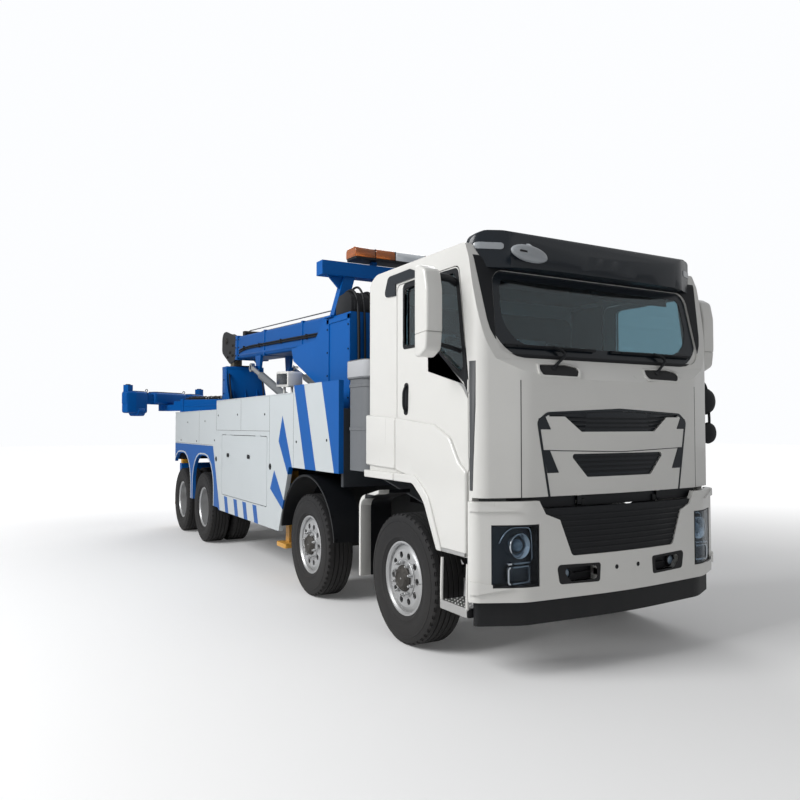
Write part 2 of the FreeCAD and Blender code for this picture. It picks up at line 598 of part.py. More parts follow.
def rear_springs():
    middle = S.axle_3_back + S.tandem_spacing / 2
    half = S.tandem_spacing / 2 + S.rear_spring_overhang
    seat = S.tyre_radius + S.axle_tube_radius
    pack = prism("y", S.rear_spring_half - S.spring_width / 2, S.rear_spring_half + S.spring_width / 2, [
        (-middle - half, seat), (-middle + half, seat), (-middle + half, seat + S.spring_depth * 0.6),
        (-middle + 120, seat + S.spring_depth * 2), (-middle - 120, seat + S.spring_depth * 2),
        (-middle - half, seat + S.spring_depth * 0.6),
    ])
    trunnion = box(-middle - 100, -middle + 100, S.rail_half, S.rear_spring_half + S.spring_width / 2,
                   seat + S.spring_depth * 2, S.rail_bottom + S.rail_height / 2)
    return both(joined(pack, trunnion))


node("axles", front_beam(STEERED[0][1]), front_beam(STEERED[1][1]), rear_axle(DRIVEN[0][1]), rear_axle(DRIVEN[1][1]))
node("springs", *front_springs(STEERED[0][1]), *front_springs(STEERED[1][1]), *rear_springs())


def knuckle(s):
    """A yoke round the beam's boss with the wheel's stub axle, in the wheel's own place."""
    in_y, out_y = S.knuckle_plate_in, S.knuckle_plate_out
    low_ear = S.boss_half_height + S.knuckle_gap
    reach = low_ear + S.knuckle_ear
    half = S.knuckle_width / 2
    plate = box(-half, half, in_y, out_y, -reach, reach)
    parts = [plate]
    for z0, z1 in ((low_ear, reach), (-reach, -low_ear)):
        parts.append(box(-half, half, S.kingpin_half, in_y, z0, z1))
        parts.append(cylinder("z", (0, S.kingpin_half), z0, z1, half))
    stub_end = S.front_track_half + S.front_disc_out + S.hub_reach - 12 - 5
    parts.append(cylinder("y", (0, 0), out_y, stub_end, S.stub_radius))
    bore = cylinder("z", (0, S.kingpin_half), -reach - 1, reach + 1, S.kingpin_radius + S.bearing_gap)
    whole = cut(joined(*parts), bore)
    return whole if s > 0 else mirrored(whole)


for number, back in STEERED:
    for side, s in SIDES:
        node(f"knuckle_{number}_{side}", knuckle(s), spot=(-back, 0, S.tyre_radius))


# Frame and engine
def rail():
    out_y, wall, flange = S.rail_half, S.rail_wall, S.rail_flange
    low = S.rail_bottom
    high = S.rail_bottom + S.rail_height
    return prism("x", -S.rail_rear_back, S.rail_front, [
        (out_y, low), (out_y, high), (out_y - flange, high), (out_y - flange, high - wall),
        (out_y - wall, high - wall), (out_y - wall, low + wall), (out_y - flange, low + wall),
        (out_y - flange, low),
    ])


def cab_mounts():
    """The arms and pins that the cab tilts on, and the posts that its rear rests on."""
    x, z, size_of = S.cab_tilt_front, S.cab_tilt_height, S.tilt_lug_radius
    top = S.rail_bottom + S.rail_height
    arm = prism("y", S.tilt_arm_in, S.tilt_arm_in + S.tilt_arm_wall, [
        (S.rail_front - 180, top), (S.rail_front, top), (x + size_of, z - size_of, size_of * 0.9),
        (x + size_of, z + 22, 20), (x - size_of, z + 22, 20), (S.rail_front - 180, top + 60),
    ])
    pin = cylinder("y", (x, z), S.tilt_arm_in, S.tilt_lug_in + S.tilt_lug_wall + 5, S.tilt_pin_radius)
    half = S.cab_rest_size / 2
    rest = box(-S.cab_rest_back - half, half - S.cab_rest_back, S.rail_half - S.rail_flange, S.rail_half, top,
               S.cab_floor_bottom - S.seat_gap)
    return [*both(arm), *both(pin), *both(rest)]


def frame():
    parts = [*both(rail()), *cab_mounts()]
    web = S.rail_half - S.rail_wall
    first = S.rail_front - S.member_width
    count = int(S.cross_member_count.number)
    span = (S.rail_rear_back + first) / (count + 1)
    low = S.rail_bottom + S.rail_wall
    high = S.rail_bottom + S.rail_height - S.rail_wall
    for i in [0, *range(3, count + 2)]:
        x = first - span * i
        parts.append(box(x, x + S.member_width, -web, web, low, high))
    for s in (1, -1):
        top = S.rail_bottom + S.rail_height
        parts.append(box(-S.rail_rear_back, -S.body_front_back - S.panel_wall, s * (S.rail_half - S.subframe_width),
                         s * S.rail_half, top, S.subframe_top))
    return joined(*parts)


node("frame", frame())
engine_half = S.rail_half - S.rail_flange
node("engine", box(-S.engine_rear_back, S.engine_front, -engine_half, engine_half, S.engine_bottom, S.engine_top))


# Cab
def bowed(half, front, bow, shoulder_half, shoulder_radius, corner_front, corner_radius, rear, low, high, inset=0,
          rear_radius=None):
    """A plan outline with a crowned front, padded upwards. inset moves every side inwards."""
    inset = size(inset)
    side = half - inset
    tail = rear + inset
    tail_corner = (tail, -side) if rear_radius is None else (tail, -side, rear_radius)
    tail_other = (tail, side) if rear_radius is None else (tail, side, rear_radius)
    return prism("z", low, high, [
        tail_corner, (corner_front - inset / 2, -side, corner_radius),
        (front - bow - inset, inset / 3 - shoulder_half, shoulder_radius), (front - inset, 0, S.bow_radius),
        (front - bow - inset, shoulder_half - inset / 3, shoulder_radius),
        (corner_front - inset / 2, side, corner_radius), tail_other,
    ])


def cab_plan(low, high, inset=0):
    return bowed(S.cab_half, S.cab_front, S.cab_bow, S.cab_shoulder_half, S.cab_shoulder_radius,
                 S.cab_corner_front, S.cab_corner_radius, -S.cab_rear_back, low, high, inset, S.cab_rear_radius)


def cab_nose(inset):
    """The corners of the cab's front and roof, from the bumper line round to the rear wall."""
    inset = size(inset)
    return [
        (S.cab_front - S.belt_back - inset, S.belt_height),
        (S.cab_front - S.cowl_back - inset, S.cowl_height),
        (S.cab_front - S.brow_back - inset, S.brow_height - inset / 2, S.brow_radius),
        (S.cab_front - S.roof_back - inset, S.roof_height - inset, S.brow_radius / 2),
        (inset - S.cab_rear_back, S.roof_height - inset, S.roof_rear_radius - inset),
    ]


def cab_outer(inset=0):
    """The cab's outside as a block, its sides reaching down round the wheel arch to the skirts."""
    inset = size(inset)
    side = prism("y", -S.cab_half - 10, S.cab_half + 10, [
        (inset - S.cab_rear_back, S.cab_arch_top), (S.cab_arch_front, S.cab_arch_top, S.cab_arch_radius),
        (S.skirt_rear, S.skirt_bottom), (S.skirt_front, S.skirt_bottom),
        (S.skirt_front + S.skirt_lean, S.cab_front_bottom), (S.cab_front - inset, S.cab_front_bottom), *cab_nose(inset),
    ])
    return common(side, cab_plan(S.skirt_bottom - 10, S.roof_height + 10, inset))


def cab_room():
    """The room inside the cab, and the space under its floor between the skirts."""
    wall = S.cab_wall
    floor_top = S.cab_floor_bottom + S.cab_floor_thick
    side = prism("y", -S.cab_half, S.cab_half, [
        (wall - S.cab_rear_back, floor_top), (S.cab_front - wall, floor_top), *cab_nose(wall),
    ])
    room = common(side, cab_plan(floor_top - 10, S.roof_height, wall))
    under = box(-S.cab_rear_back - 10, S.skirt_front + 100, wall - S.cab_half, S.cab_half - wall,
                S.skirt_bottom - 20, S.cab_floor_bottom)
    return room, under


def door_outline(gap=0):
    gap = size(gap)
    return [
        (gap - S.door_rear_back, S.skirt_bottom - 60), (S.door_front - gap, S.skirt_bottom - 60),
        (S.door_front - gap, S.belt_height), (S.door_front_top - gap, S.door_top - gap, 60),
        (gap - S.door_rear_back, S.door_top - gap, 60),
    ]


def door_block(s, gap=0, inside=0):
    return prism("y", s * (S.cab_half - S.cab_wall - inside), s * (S.cab_half + 20), door_outline(gap))


def window_outline(gap=0):
    gap = size(gap)
    return [
        (S.window_rear + gap, S.window_high + gap, 20), (S.window_sill_rear, S.window_high + gap, 120),
        (S.window_front - gap, S.window_low + gap, S.window_radius),
        (S.window_front_top - gap, S.window_top - gap, S.window_radius),
        (S.window_rear + gap, S.window_top - gap, S.window_radius),
    ]


def window_block(s, gap=0, low=None, high=None):
    low = S.cab_half - S.cab_wall - 20 if low is None else low
    high = S.cab_half + 20 if high is None else high
    return prism("y", s * low, s * high, window_outline(gap))


def screen_block(gap=0):
    gap = size(gap)
    half = S.screen_half - gap
    low = S.screen_bottom + gap
    high = S.screen_top - gap
    radius = S.screen_radius
    return prism("x", S.cab_corner_front - 160, S.cab_front + 50, [
        (-half, low, radius), (half, low, radius), (half - 40, high, radius), (40 - half, high, radius),
    ])


def grille_openings(gap=0):
    """Two trapezoids, one above the other, the upper one widening into a band along its top."""
    gap = size(gap)
    upper = [
        (S.grille_half_foot - gap, S.grille_foot + gap, 20), (S.grille_half_top - gap, S.grille_top + gap, 20),
        (S.grille_half_band - gap, S.grille_top + gap), (S.grille_half_band - gap, S.grille_top + S.grille_band - gap),
    ]
    lower = [
        (S.grille_half_low_foot - gap, S.grille_low_foot + gap, 20),
        (S.grille_half_low_top - gap, S.grille_low_top - gap, 20),
    ]
    blocks = []
    for half, crown in ((upper, [(0, S.grille_crown - gap, S.bow_radius)]), (lower, [])):
        other = [(-corner[0], *corner[1:]) for corner in reversed(half)]
        blocks.append(prism("x", S.cab_front - S.cab_bow - 120, S.cab_front + 20, half + crown + other))
    return blocks


room, under = cab_room()
cab_skin = cut(cab_outer(), room, under)
grille_pockets = [cut(block, cab_outer(S.grille_depth)) for block in grille_openings()]
doorways = [door_block(1, 0, S.sill_gap), door_block(-1, 0, S.sill_gap)]
tilt_lug = prism("y", S.tilt_lug_in, S.tilt_lug_in + S.tilt_lug_wall, [
    (S.cab_tilt_front - S.tilt_lug_radius - 15, S.cab_front_bottom + 5),
    (S.cab_tilt_front - S.tilt_lug_radius, S.cab_tilt_height - S.tilt_lug_radius, S.tilt_lug_radius * 0.95),
    (S.cab_tilt_front + S.tilt_lug_radius, S.cab_tilt_height - S.tilt_lug_radius, S.tilt_lug_radius * 0.95),
    (S.cab_tilt_front + S.tilt_lug_radius, S.cab_front_bottom + 5),
])
tilt_bore = cylinder("y", (S.cab_tilt_front, S.cab_tilt_height), -S.cab_half, S.cab_half,
                     S.tilt_pin_radius + S.bearing_gap)


def door_hinges(s, gap=0):
    """The barrels of a door's hinges, on the line that it turns about."""
    return [cylinder("z", (S.door_front, s * S.cab_half), z - gap, z + S.hinge_height + gap, S.hinge_radius + gap)
            for z in (S.hinge_low, S.hinge_high)]


cab_body = cut(cab_skin, *doorways, screen_block(), *grille_pockets, *door_hinges(1, S.seat_gap),
               *door_hinges(-1, S.seat_gap))
node("cab_shell", joined(cab_body, *both(cut(tilt_lug, tilt_bore))))

for side, s in SIDES:
    leaf = common(cab_skin, door_block(s, S.door_gap))
    tabs = [box(S.door_front - S.door_gap, S.door_front - S.seat_gap, s * (S.cab_half - S.hinge_depth), s * S.cab_half,
                z, z + S.hinge_height) for z in (S.hinge_low, S.hinge_high)]
    node(f"door_{side}", joined(cut(leaf, window_block(s)), *tabs, *door_hinges(s)))
    pane_in = S.cab_half - S.glass_inset - S.glass_thick
    node(f"door_glass_{side}", window_block(s, S.glass_gap, pane_in, pane_in + S.glass_thick))
pane = cut(cab_outer(S.glass_inset), cab_outer(S.glass_inset + S.glass_thick))
node("windscreen", common(pane, screen_block(S.glass_gap)))


def visor():
    """The gloss panel over the windscreen, lying on the roof's front edge."""
    side = prism("y", -S.cab_half, S.cab_half, [
        (S.visor_rear, S.roof_height + S.visor_gap), (S.visor_rear, S.roof_height + 30),
        (S.visor_rear + 150, S.visor_top, 200), (S.visor_front - 90, S.visor_top, S.visor_radius),
        (S.visor_front, S.visor_bottom + 120, S.visor_radius), (S.visor_front - 20, S.visor_bottom),
        (S.cab_front - S.brow_back - 60, S.visor_bottom),
    ])
    plan = bowed(S.visor_half, S.visor_front, S.cab_bow * 0.8, S.cab_shoulder_half - 60, S.cab_shoulder_radius,
                 S.cab_corner_front - S.visor_corner_back, S.cab_corner_radius, S.visor_rear - 10,
                 S.visor_bottom - 5,
                 S.visor_top + 5)
    return cut(common(side, plan), cab_outer(-S.visor_gap))


grille_inserts = [
    cut(common(cab_outer(S.grille_depth / 3), block), cab_outer(S.grille_depth - S.glass_gap))
    for block in grille_openings(S.glass_gap)
]
node("cab_trim", visor(), *grille_inserts)


def mirror(s):
    """A tall housing on an arm from the front of the door frame."""
    housing = prism("z", S.mirror_bottom, S.mirror_top, [
        (S.mirror_rear, S.mirror_in, 20), (S.mirror_front - 60, S.mirror_in, S.mirror_radius),
        (S.mirror_front - 40, S.mirror_out, S.mirror_radius), (S.mirror_rear, S.mirror_out, 20),
    ])
    half = S.mirror_arm / 2
    tip = (S.mirror_rear + S.mirror_front) / 2
    root = S.mirror_arm_root
    arm_z = S.mirror_top - S.mirror_arm_drop
    arm = prism("z", arm_z - half, arm_z + half, [
        (root - half, S.cab_half - S.cab_wall), (root + half, S.cab_half - S.cab_wall),
        (tip + half, S.mirror_in), (tip - half, S.mirror_in),
    ])
    whole = joined(housing, cut(arm, cab_outer(-S.seat_gap)))
    return whole if s > 0 else mirrored(whole)


for side, s in SIDES:
    node(f"mirror_{side}", mirror(s))


def seat(s):
    """A cushion and back in one profile across the cab, on its pedestal."""
    middle = s * S.seat_half
    half = S.seat_width / 2
    thick, radius = S.seat_thick, S.seat_radius
    shape = prism("y", middle - half, middle + half, [
        (S.seat_front, S.seat_top - thick, radius), (S.seat_front, S.seat_top, radius),
        (S.seat_rear + thick, S.seat_top, radius / 2), (S.seat_rear - 30, S.seat_back_top, radius),
        (S.seat_rear - 30 - thick, S.seat_back_top, radius), (S.seat_rear, S.seat_top - thick, radius),
    ])
    floor_top = S.cab_floor_bottom + S.cab_floor_thick
    base = box(S.seat_rear + 80, S.seat_front - 120, middle - half + 90, middle + half - 90,
               floor_top, S.seat_top - thick)
    return joined(shape, base)


node("seats", seat(1), seat(-1))


def dashboard():
    top, low = S.dash_top, S.dash_bottom
    shape = prism("y", -S.dash_half, S.dash_half, [
        (S.dash_rear + 60, low, S.dash_radius), (S.cab_front, low), (S.cab_front, top),
        (S.dash_rear + 90, top, S.dash_radius), (S.dash_rear, top - 160, S.dash_radius),
    ])
    return common(shape, cab_outer(S.cab_wall + S.seat_gap))


def steering_wheel():
    """A ring with three spokes on a leaning column that runs into the dashboard."""
    reach, tube = S.wheel_ring, S.wheel_tube
    ring = placed(turned([
        (reach - tube, tube * -0.4), (reach - tube * 0.4, -tube), (reach + tube * 0.4, -tube),
        (reach + tube, tube * -0.4), (reach + tube, tube * 0.4), (reach + tube * 0.4, tube),
        (reach - tube * 0.4, tube), (reach - tube, tube * 0.4),
    ]), (0, 0, 0), (0, 0, 90))
    hub = cylinder("z", (0, 0), -30, 25, 55)
    spokes = [box(-18, 18, 0, S.wheel_ring, -10, 10), box(-18, 18, -S.wheel_ring, 0, -10, 10),
              box(-S.wheel_ring, 0, -18, 18, -10, 10)]
    column = cylinder("z", (0, 0), -S.column_length, 0, S.column_radius)
    whole = joined(ring, hub, *spokes, column)
    return placed(whole, (S.wheel_station, S.seat_half, S.wheel_height), (0, -S.wheel_lean, 0))


node("dashboard", joined(dashboard(), steering_wheel()))


# Front end
def bumper_block(inset=0, low=None, high=None, rear=None, corner_radius=None):
    low = S.bumper_bottom if low is None else low
    high = S.bumper_top if high is None else high
    rear = S.bumper_rear if rear is None else rear
    corner_radius = S.bumper_corner_radius if corner_radius is None else corner_radius
    return bowed(S.bumper_half, S.bumper_front, S.bumper_bow, S.bumper_shoulder_half, S.bumper_shoulder_radius,
                 S.bumper_corner_front, corner_radius, rear, low, high, inset)


def bumper_shell(inset, wall, low, high, corner_radius=None):
    """The bumper's curved wall, open to the rear."""
    inset = size(inset)
    outer = bumper_block(inset, low, high, S.bumper_rear - inset, corner_radius)
    inner = bumper_block(inset + wall, low - 1, high + 1, S.bumper_rear - inset - wall - 50, corner_radius)
    return cut(outer, inner)


def inlet(gap=0):
    gap = size(gap)
    low, top = S.inlet_bottom + gap, S.bumper_top + 1 - gap
    half = [(S.inlet_half_bottom - gap, low, 40), (S.inlet_half_mid - gap, S.inlet_mid + gap),
            (S.inlet_half_ledge - gap, S.inlet_ledge + gap), (S.inlet_half_top - gap, top)]
    other = [(-corner[0], *corner[1:]) for corner in reversed(half)]
    return prism("x", S.bumper_rear, S.bumper_front + 20, half + other)


def lower_grille():
    """The dark grille in the bumper's inlet, its top low enough for the cab to tilt over it."""
    shell = bumper_shell(S.bumper_wall / 3, S.bumper_wall, S.bumper_bottom, S.inlet_top)
    return cut(common(shell, inlet(S.glass_gap)), bumper_bar)


def fog_slot(gap=0):
    gap = size(gap)
    low, high = S.fog_bottom + gap, S.fog_top - gap
    return prism("x", S.bumper_rear, S.bumper_front + 20, [
        (S.fog_in + gap, low, S.fog_radius), (S.fog_out - 90, low, S.fog_radius),
        (S.fog_out - gap, high, S.fog_radius), (S.fog_in + gap, high, S.fog_radius),
    ])


def lamp_block(gap=0):
    gap = size(gap)
    return box(S.lamp_rear + gap, S.bumper_front + 20, S.lamp_in + gap, S.lamp_out - gap,
               S.lamp_bottom + gap, S.lamp_top - gap)


bumper_skin = bumper_shell(0, S.bumper_wall, S.bumper_bottom, S.bumper_top)
bumper_bar = box(S.rail_front, S.bumper_front - S.bumper_bow - S.bumper_wall + 10, -S.bumper_shoulder_half,
                 S.bumper_shoulder_half, S.rail_bottom + 60, S.rail_bottom + 60 + S.bumper_bar_height)


def flare(tip_y, tip_z, low, high):
    """A raised ridge that widens from its tip towards the bumper's corner."""
    side = S.bumper_half + S.flare_height * 2
    ridge = prism("x", S.bumper_rear + 20, S.bumper_front, [(tip_y, tip_z), (side, low), (side, high)])
    layer = cut(bumper_block(-S.flare_height), bumper_block(S.bumper_wall / 2, S.bumper_bottom - 1, S.bumper_top + 1))
    return common(layer, ridge)


flares = [
    *both(flare(S.bumper_half - S.flare_inset, S.flare_top_low, S.flare_top_low, S.bumper_top)),
    *both(flare(S.bumper_half - S.flare_low_inset, (S.flare_low_bottom + S.flare_low_top) / 2,
                S.flare_low_bottom, S.flare_low_top)),
]
node("bumper", joined(
    cut(joined(bumper_skin, *flares), inlet(), *both(fog_slot()), *both(lamp_block())),
    cut(bumper_bar, *both(lamp_block()))))
node("front_valance",
     bumper_shell(S.valance_set_back, S.bumper_wall, S.valance_bottom, S.bumper_bottom, S.valance_corner_radius),
     lower_grille())
lamp = common(bumper_shell(S.lamp_front_gap, S.lamp_depth, S.bumper_bottom, S.bumper_top), lamp_block(S.lamp_gap))
tail_lamp = box(-S.body_rear_back - S.tail_lamp_thick, -S.body_rear_back, S.tail_lamp_in, S.tail_lamp_out,
                S.tail_lamp_bottom, S.tail_lamp_top)
node("lamps", *both(lamp), *both(tail_lamp))


def step():
    """Tread and back panel in one folded section, hung from the frame by a bracket."""
    low, back_in = S.step_bottom, S.step_in
    tread = prism("x", S.step_rear, S.step_front, [
        (back_in, low), (S.step_out, low, 15), (S.step_out, low + S.step_thick, 15),
        (back_in + S.step_back, low + S.step_thick), (back_in + S.step_back, S.step_top), (back_in, S.step_top),
    ])
    middle = (S.step_rear + S.step_front) / 2
    half = S.bracket_size / 2
    bracket = box(middle - half, middle + half, S.rail_half, back_in, S.step_top - S.bracket_size, S.step_top)
    return joined(tread, bracket)




def wheel_strip():
    """The white mudguard behind the front wheel, turned forward at its top."""
    wall = S.strip_wall
    strip = prism("y", S.guard_in, S.guard_out, [
        (-S.strip_back, S.strip_bottom), (-S.strip_back, S.strip_corner, S.strip_radius),
        (-S.strip_reach, S.strip_top), (-S.strip_reach, S.strip_top - wall),
        (wall - S.strip_back, S.strip_corner - wall, S.strip_radius - wall), (wall - S.strip_back, S.strip_bottom),
    ])
    low = S.rail_bottom + S.bracket_size
    bracket = box(-S.strip_back, wall - S.strip_back, S.rail_half, S.guard_in, low, low + S.bracket_size)
    return joined(strip, bracket)


def round_guard(back):
    """An arched mudguard over a wheel, as a half ring."""
    ring = cut(
        cylinder("y", (-back, S.tyre_radius), S.guard_in, S.guard_out, S.guard_radius),
        cylinder("y", (-back, S.tyre_radius), S.guard_in - 1, S.guard_out + 1, S.guard_radius - S.guard_wall))
    keep = box(-back - S.guard_radius - 5, -back + S.guard_radius + 5, S.guard_in, S.guard_out, S.guard_bottom,
               S.tyre_radius + S.guard_radius + 5)
    low = S.rail_bottom + S.bracket_size
    x = S.guard_radius * 0.94
    bracket = box(-back - x, -back - x + S.guard_wall, S.rail_half, S.guard_in + 10, low, low + S.bracket_size)
    return joined(common(ring, keep), bracket)


node("steps_and_guards", *both(step()), *both(wheel_strip()), *both(round_guard(S.axle_2_back)))


def intake_stack():
    """The air intake between cab and body, with its cap and the arm that carries it."""
    rear, front = -S.stack_rear_back, -S.stack_front_back
    radius, cap = S.stack_radius, S.stack_cap
    trunk = prism("z", S.stack_bottom, S.stack_neck, [
        (rear + cap, -S.stack_out + cap, radius), (front - cap, -S.stack_out + cap, radius),
        (front - cap, -S.stack_in - cap, radius), (rear + cap, -S.stack_in - cap, radius),
    ])
    head = prism("z", S.stack_neck, S.stack_top, [
        (rear, -S.stack_out, radius), (front, -S.stack_out, radius), (front, -S.stack_in, radius),
        (rear, -S.stack_in, radius),
    ])
    middle = (rear + front) / 2
    half = S.bracket_size / 2
    top = S.rail_bottom + S.rail_height
    arm = prism("x", middle - half, middle + half, [
        (-S.rail_half + 60, top), (-S.rail_half, top), (-S.stack_in - 150, S.stack_bottom - 60),
        (-S.stack_in - 150, S.stack_bottom), (-S.stack_in - 50, S.stack_bottom), (-S.rail_half + 60, top + 60),
    ])
    return joined(trunk, head, arm)


node("intake_stack", intake_stack())


# Recovery body
def arch_block(back):
    half = S.arch_half
    return prism("y", S.body_half - S.panel_wall - 10, S.body_half + 10, [
        (-back - half, S.panel_bottom - 20), (-back - half, S.arch_top, S.arch_radius),
        (half - back, S.arch_top, S.arch_radius), (half - back, S.panel_bottom - 20),
    ])


def lid_outline(gap=0):
    gap = size(gap)
    radius = S.lid_radius
    return [
        (gap - S.lid_rear, S.lid_bottom + gap, radius), (-S.lid_front - gap, S.lid_bottom + gap, radius),
        (-S.lid_front - gap, S.lid_top - gap, radius), (gap - S.lid_rear, S.lid_top - gap, radius),
    ]


def lid_hinges(s, gap=0):
    """The barrels of a locker lid's hinges, on the line that it turns about."""
    return [cylinder("x", (s * S.body_half, S.lid_top), -x - S.hinge_height - gap, S.hinge_height - x + gap,
                     S.hinge_radius + gap)
            for x in (S.lid_front + S.lid_hinge_in, S.lid_rear - S.lid_hinge_in)]


def side_panel():
    """One side of the recovery body, with its two wheel arches and its locker doorway."""
    low, high = S.body_half - S.panel_wall, S.body_half
    panel = prism("y", low, high, [
        (-S.body_front_back, S.panel_bottom_front), (-S.body_front_back, S.panel_top_front),
        (-S.panel_step_front, S.panel_top_front), (-S.panel_step_front, S.panel_top_mid),
        (-S.panel_step_rear, S.panel_top_mid), (-S.panel_step_rear, S.panel_top_rear),
        (-S.body_rear_back, S.panel_top_rear), (-S.body_rear_back, S.panel_tail_bottom),
        (-S.locker_rear - 60, S.panel_tail_bottom), (-S.locker_rear, S.panel_bottom),
        (-S.slant_rear, S.panel_bottom), (-S.slant_front, S.panel_bottom_front),
    ])
    doorway = prism("y", low - 10, high + 10, lid_outline())
    return cut(panel, arch_block(DRIVEN[0][1]), arch_block(DRIVEN[1][1]), doorway, *lid_hinges(1, S.seat_gap))


node("body_sides", *both(side_panel()))
for side, s in SIDES:
    low, high = s * (S.body_half - S.panel_wall), s * S.body_half
    leaf = prism("y", low, high, lid_outline(S.lid_gap))
    tabs = [box(-x - S.hinge_height, S.hinge_height - x, low, high, S.lid_top - S.lid_gap, S.lid_top - S.seat_gap)
            for x in (S.lid_front + S.lid_hinge_in, S.lid_rear - S.lid_hinge_in)]
    node(f"locker_lid_{side}", joined(leaf, *tabs, *lid_hinges(s)))


def leg_case(back):
    """The square sleeve that an outrigger leg slides in."""
    hole = S.leg_half + S.leg_gap
    outer = hole + S.leg_case_wall
    track = S.leg_track_half
    sleeve = box(-back - outer, outer - back, track - outer, track + outer, S.leg_case_bottom, S.leg_case_top)
    bore = box(-back - hole, hole - back, track - hole, track + hole, S.leg_case_bottom - 1, S.leg_case_top + 1)
    return sleeve, bore, outer


def deck():
    """Deck, bulkheads, locker boxes and front outrigger sleeves of the recovery body."""
    inner = S.body_half - S.panel_wall
    base = S.deck_top - S.deck_wall
    parts = [box(-S.body_rear_back, -S.body_front_back, -inner, inner, base, S.deck_top)]
    wall = S.deck_wall
    for back in (S.body_front_back, S.locker_front - wall, S.locker_rear, S.body_rear_back - wall):
        parts.append(box(-back - wall, -back, -inner, inner, S.subframe_top, base))
    for s in (1, -1):
        back_plate = s * S.locker_back_half
        parts.append(box(-S.locker_rear - wall, wall - S.locker_front, back_plate, back_plate - s * wall,
                         S.locker_floor, base))
        parts.append(box(-S.locker_rear - wall, wall - S.locker_front, back_plate, s * inner, S.locker_floor,
                         S.locker_floor + wall))
        for back in (S.locker_front - wall, S.locker_rear):
            parts.append(box(-back - wall, -back, back_plate, s * inner, S.locker_floor, S.subframe_top))
    sleeve, bore, outer = leg_case(S.leg_front_back)
    parts.extend(both(sleeve))
    carrier = box(-S.leg_front_back - outer, outer - S.leg_front_back, S.rail_half, S.leg_track_half - outer,
                  S.rail_bottom + S.rail_height, S.leg_case_top)
    parts.extend(both(carrier))
    return cut(joined(*parts), *both(bore))


node("deck", deck())


# Mast
def mast():
    """The tower behind the cab, its cheeks, its upper frame and the lugs of the boom's pivot."""
    front, rear, half = -S.mast_front, -S.mast_rear, S.mast_half
    parts = [box(rear, front, -half, half, S.deck_top, S.mast_top)]
    cheek = prism("y", half - S.cheek_wall, half, [
        (rear + 10, S.deck_top), (rear + 10, S.mast_top), (rear - 60, S.mast_top),
        (rear - S.cheek_slope, S.cheek_top), (-S.cheek_rear, S.cheek_top - 40),
        (-S.cheek_rear + 60, S.cheek_top - S.cheek_drop),
        (rear - 200, S.cheek_bottom), (rear - 120, S.deck_top),
    ])
    parts.extend(both(cheek))
    lug = prism("y", S.lug_in, S.lug_in + S.lug_wall, [
        (rear + 10, S.deck_top), (rear + 10, S.mast_top), (rear - 60, S.mast_top),
        (S.lug_radius - S.boom_pivot_back, S.boom_pivot_height + S.lug_radius, S.lug_radius * 0.6),
        (-S.lug_radius - S.boom_pivot_back, S.boom_pivot_height + S.lug_radius, S.lug_radius * 0.9),
        (-S.lug_radius - S.boom_pivot_back, S.boom_pivot_height - S.lug_radius, S.lug_radius * 0.9),
        (rear - S.lug_foot, S.deck_top),
    ])
    parts.extend(both(lug))
    pin_end = S.lug_in + S.lug_wall + 20
    parts.append(cylinder("y", (-S.boom_pivot_back, S.boom_pivot_height), -pin_end, pin_end, S.boom_pin_radius))
    x0 = -S.mast_bar_back - S.mast_post_depth / 2
    x1 = -S.mast_bar_back + S.mast_post_depth / 2
    post = prism("x", x0, x1, [
        (S.mast_post_half_low - S.mast_post_width - 20, S.mast_top - 30), (S.mast_post_half_low - 20, S.mast_top - 30),
        (S.mast_post_half_high, S.mast_bar_bottom + 10),
        (S.mast_post_half_high - S.mast_post_width, S.mast_bar_bottom + 10),
    ])
    parts.extend(both(post))
    parts.append(box(-S.mast_bar_back - S.mast_bar_depth / 2, -S.mast_bar_back + S.mast_bar_depth / 2,
                     -S.mast_bar_half, S.mast_bar_half, S.mast_bar_bottom, S.mast_bar_top))
    foot = S.beacon_foot / 2
    foot_y = S.beacon_half * 0.6
    parts.extend(both(box(-S.mast_bar_back - foot, foot - S.mast_bar_back, foot_y - foot, foot_y + foot,
                          S.mast_bar_top, S.beacon_bottom)))
    base = S.lift_base_height
    slot_half = S.barrel_radius + S.moving_gap
    seat_half = slot_half + S.lift_seat_wall
    seat = prism("y", S.lift_half - seat_half, S.lift_half + seat_half, [
        (-S.lift_base_back - 110, S.deck_top), (110 - S.lift_base_back, S.deck_top),
        (S.lift_eye_radius - S.lift_base_back, base + S.lift_eye_radius, 50),
        (-S.lift_eye_radius - S.lift_base_back, base + S.lift_eye_radius, 50),
    ])
    slot = box(-S.lift_base_back - 130, 130 - S.lift_base_back, S.lift_half - slot_half, S.lift_half + slot_half,
               S.deck_top + 5, base + 100)
    pin = cylinder("y", (-S.lift_base_back, base), S.lift_half - seat_half, S.lift_half + seat_half,
                   S.lift_pin_radius)
    bracket = joined(cut(seat, slot), pin)
    shaft = cylinder("y", (-S.drum_back, S.drum_height), -S.lug_in - 10, S.lug_in + 10, S.drum_pin_radius)
    return joined(*parts, shaft), [*both(bracket)]


tower, lift_seats = mast()
node("mast", tower, *lift_seats)
node("light_bar", prism("y", -S.beacon_half, S.beacon_half, [
    (-S.mast_bar_back - S.beacon_depth / 2, S.beacon_bottom, 15),
    (-S.mast_bar_back + S.beacon_depth / 2, S.beacon_bottom, 15),
    (-S.mast_bar_back + S.beacon_depth / 2, S.beacon_top, S.beacon_radius),
    (-S.mast_bar_back - S.beacon_depth / 2, S.beacon_top, S.beacon_radius),
]))


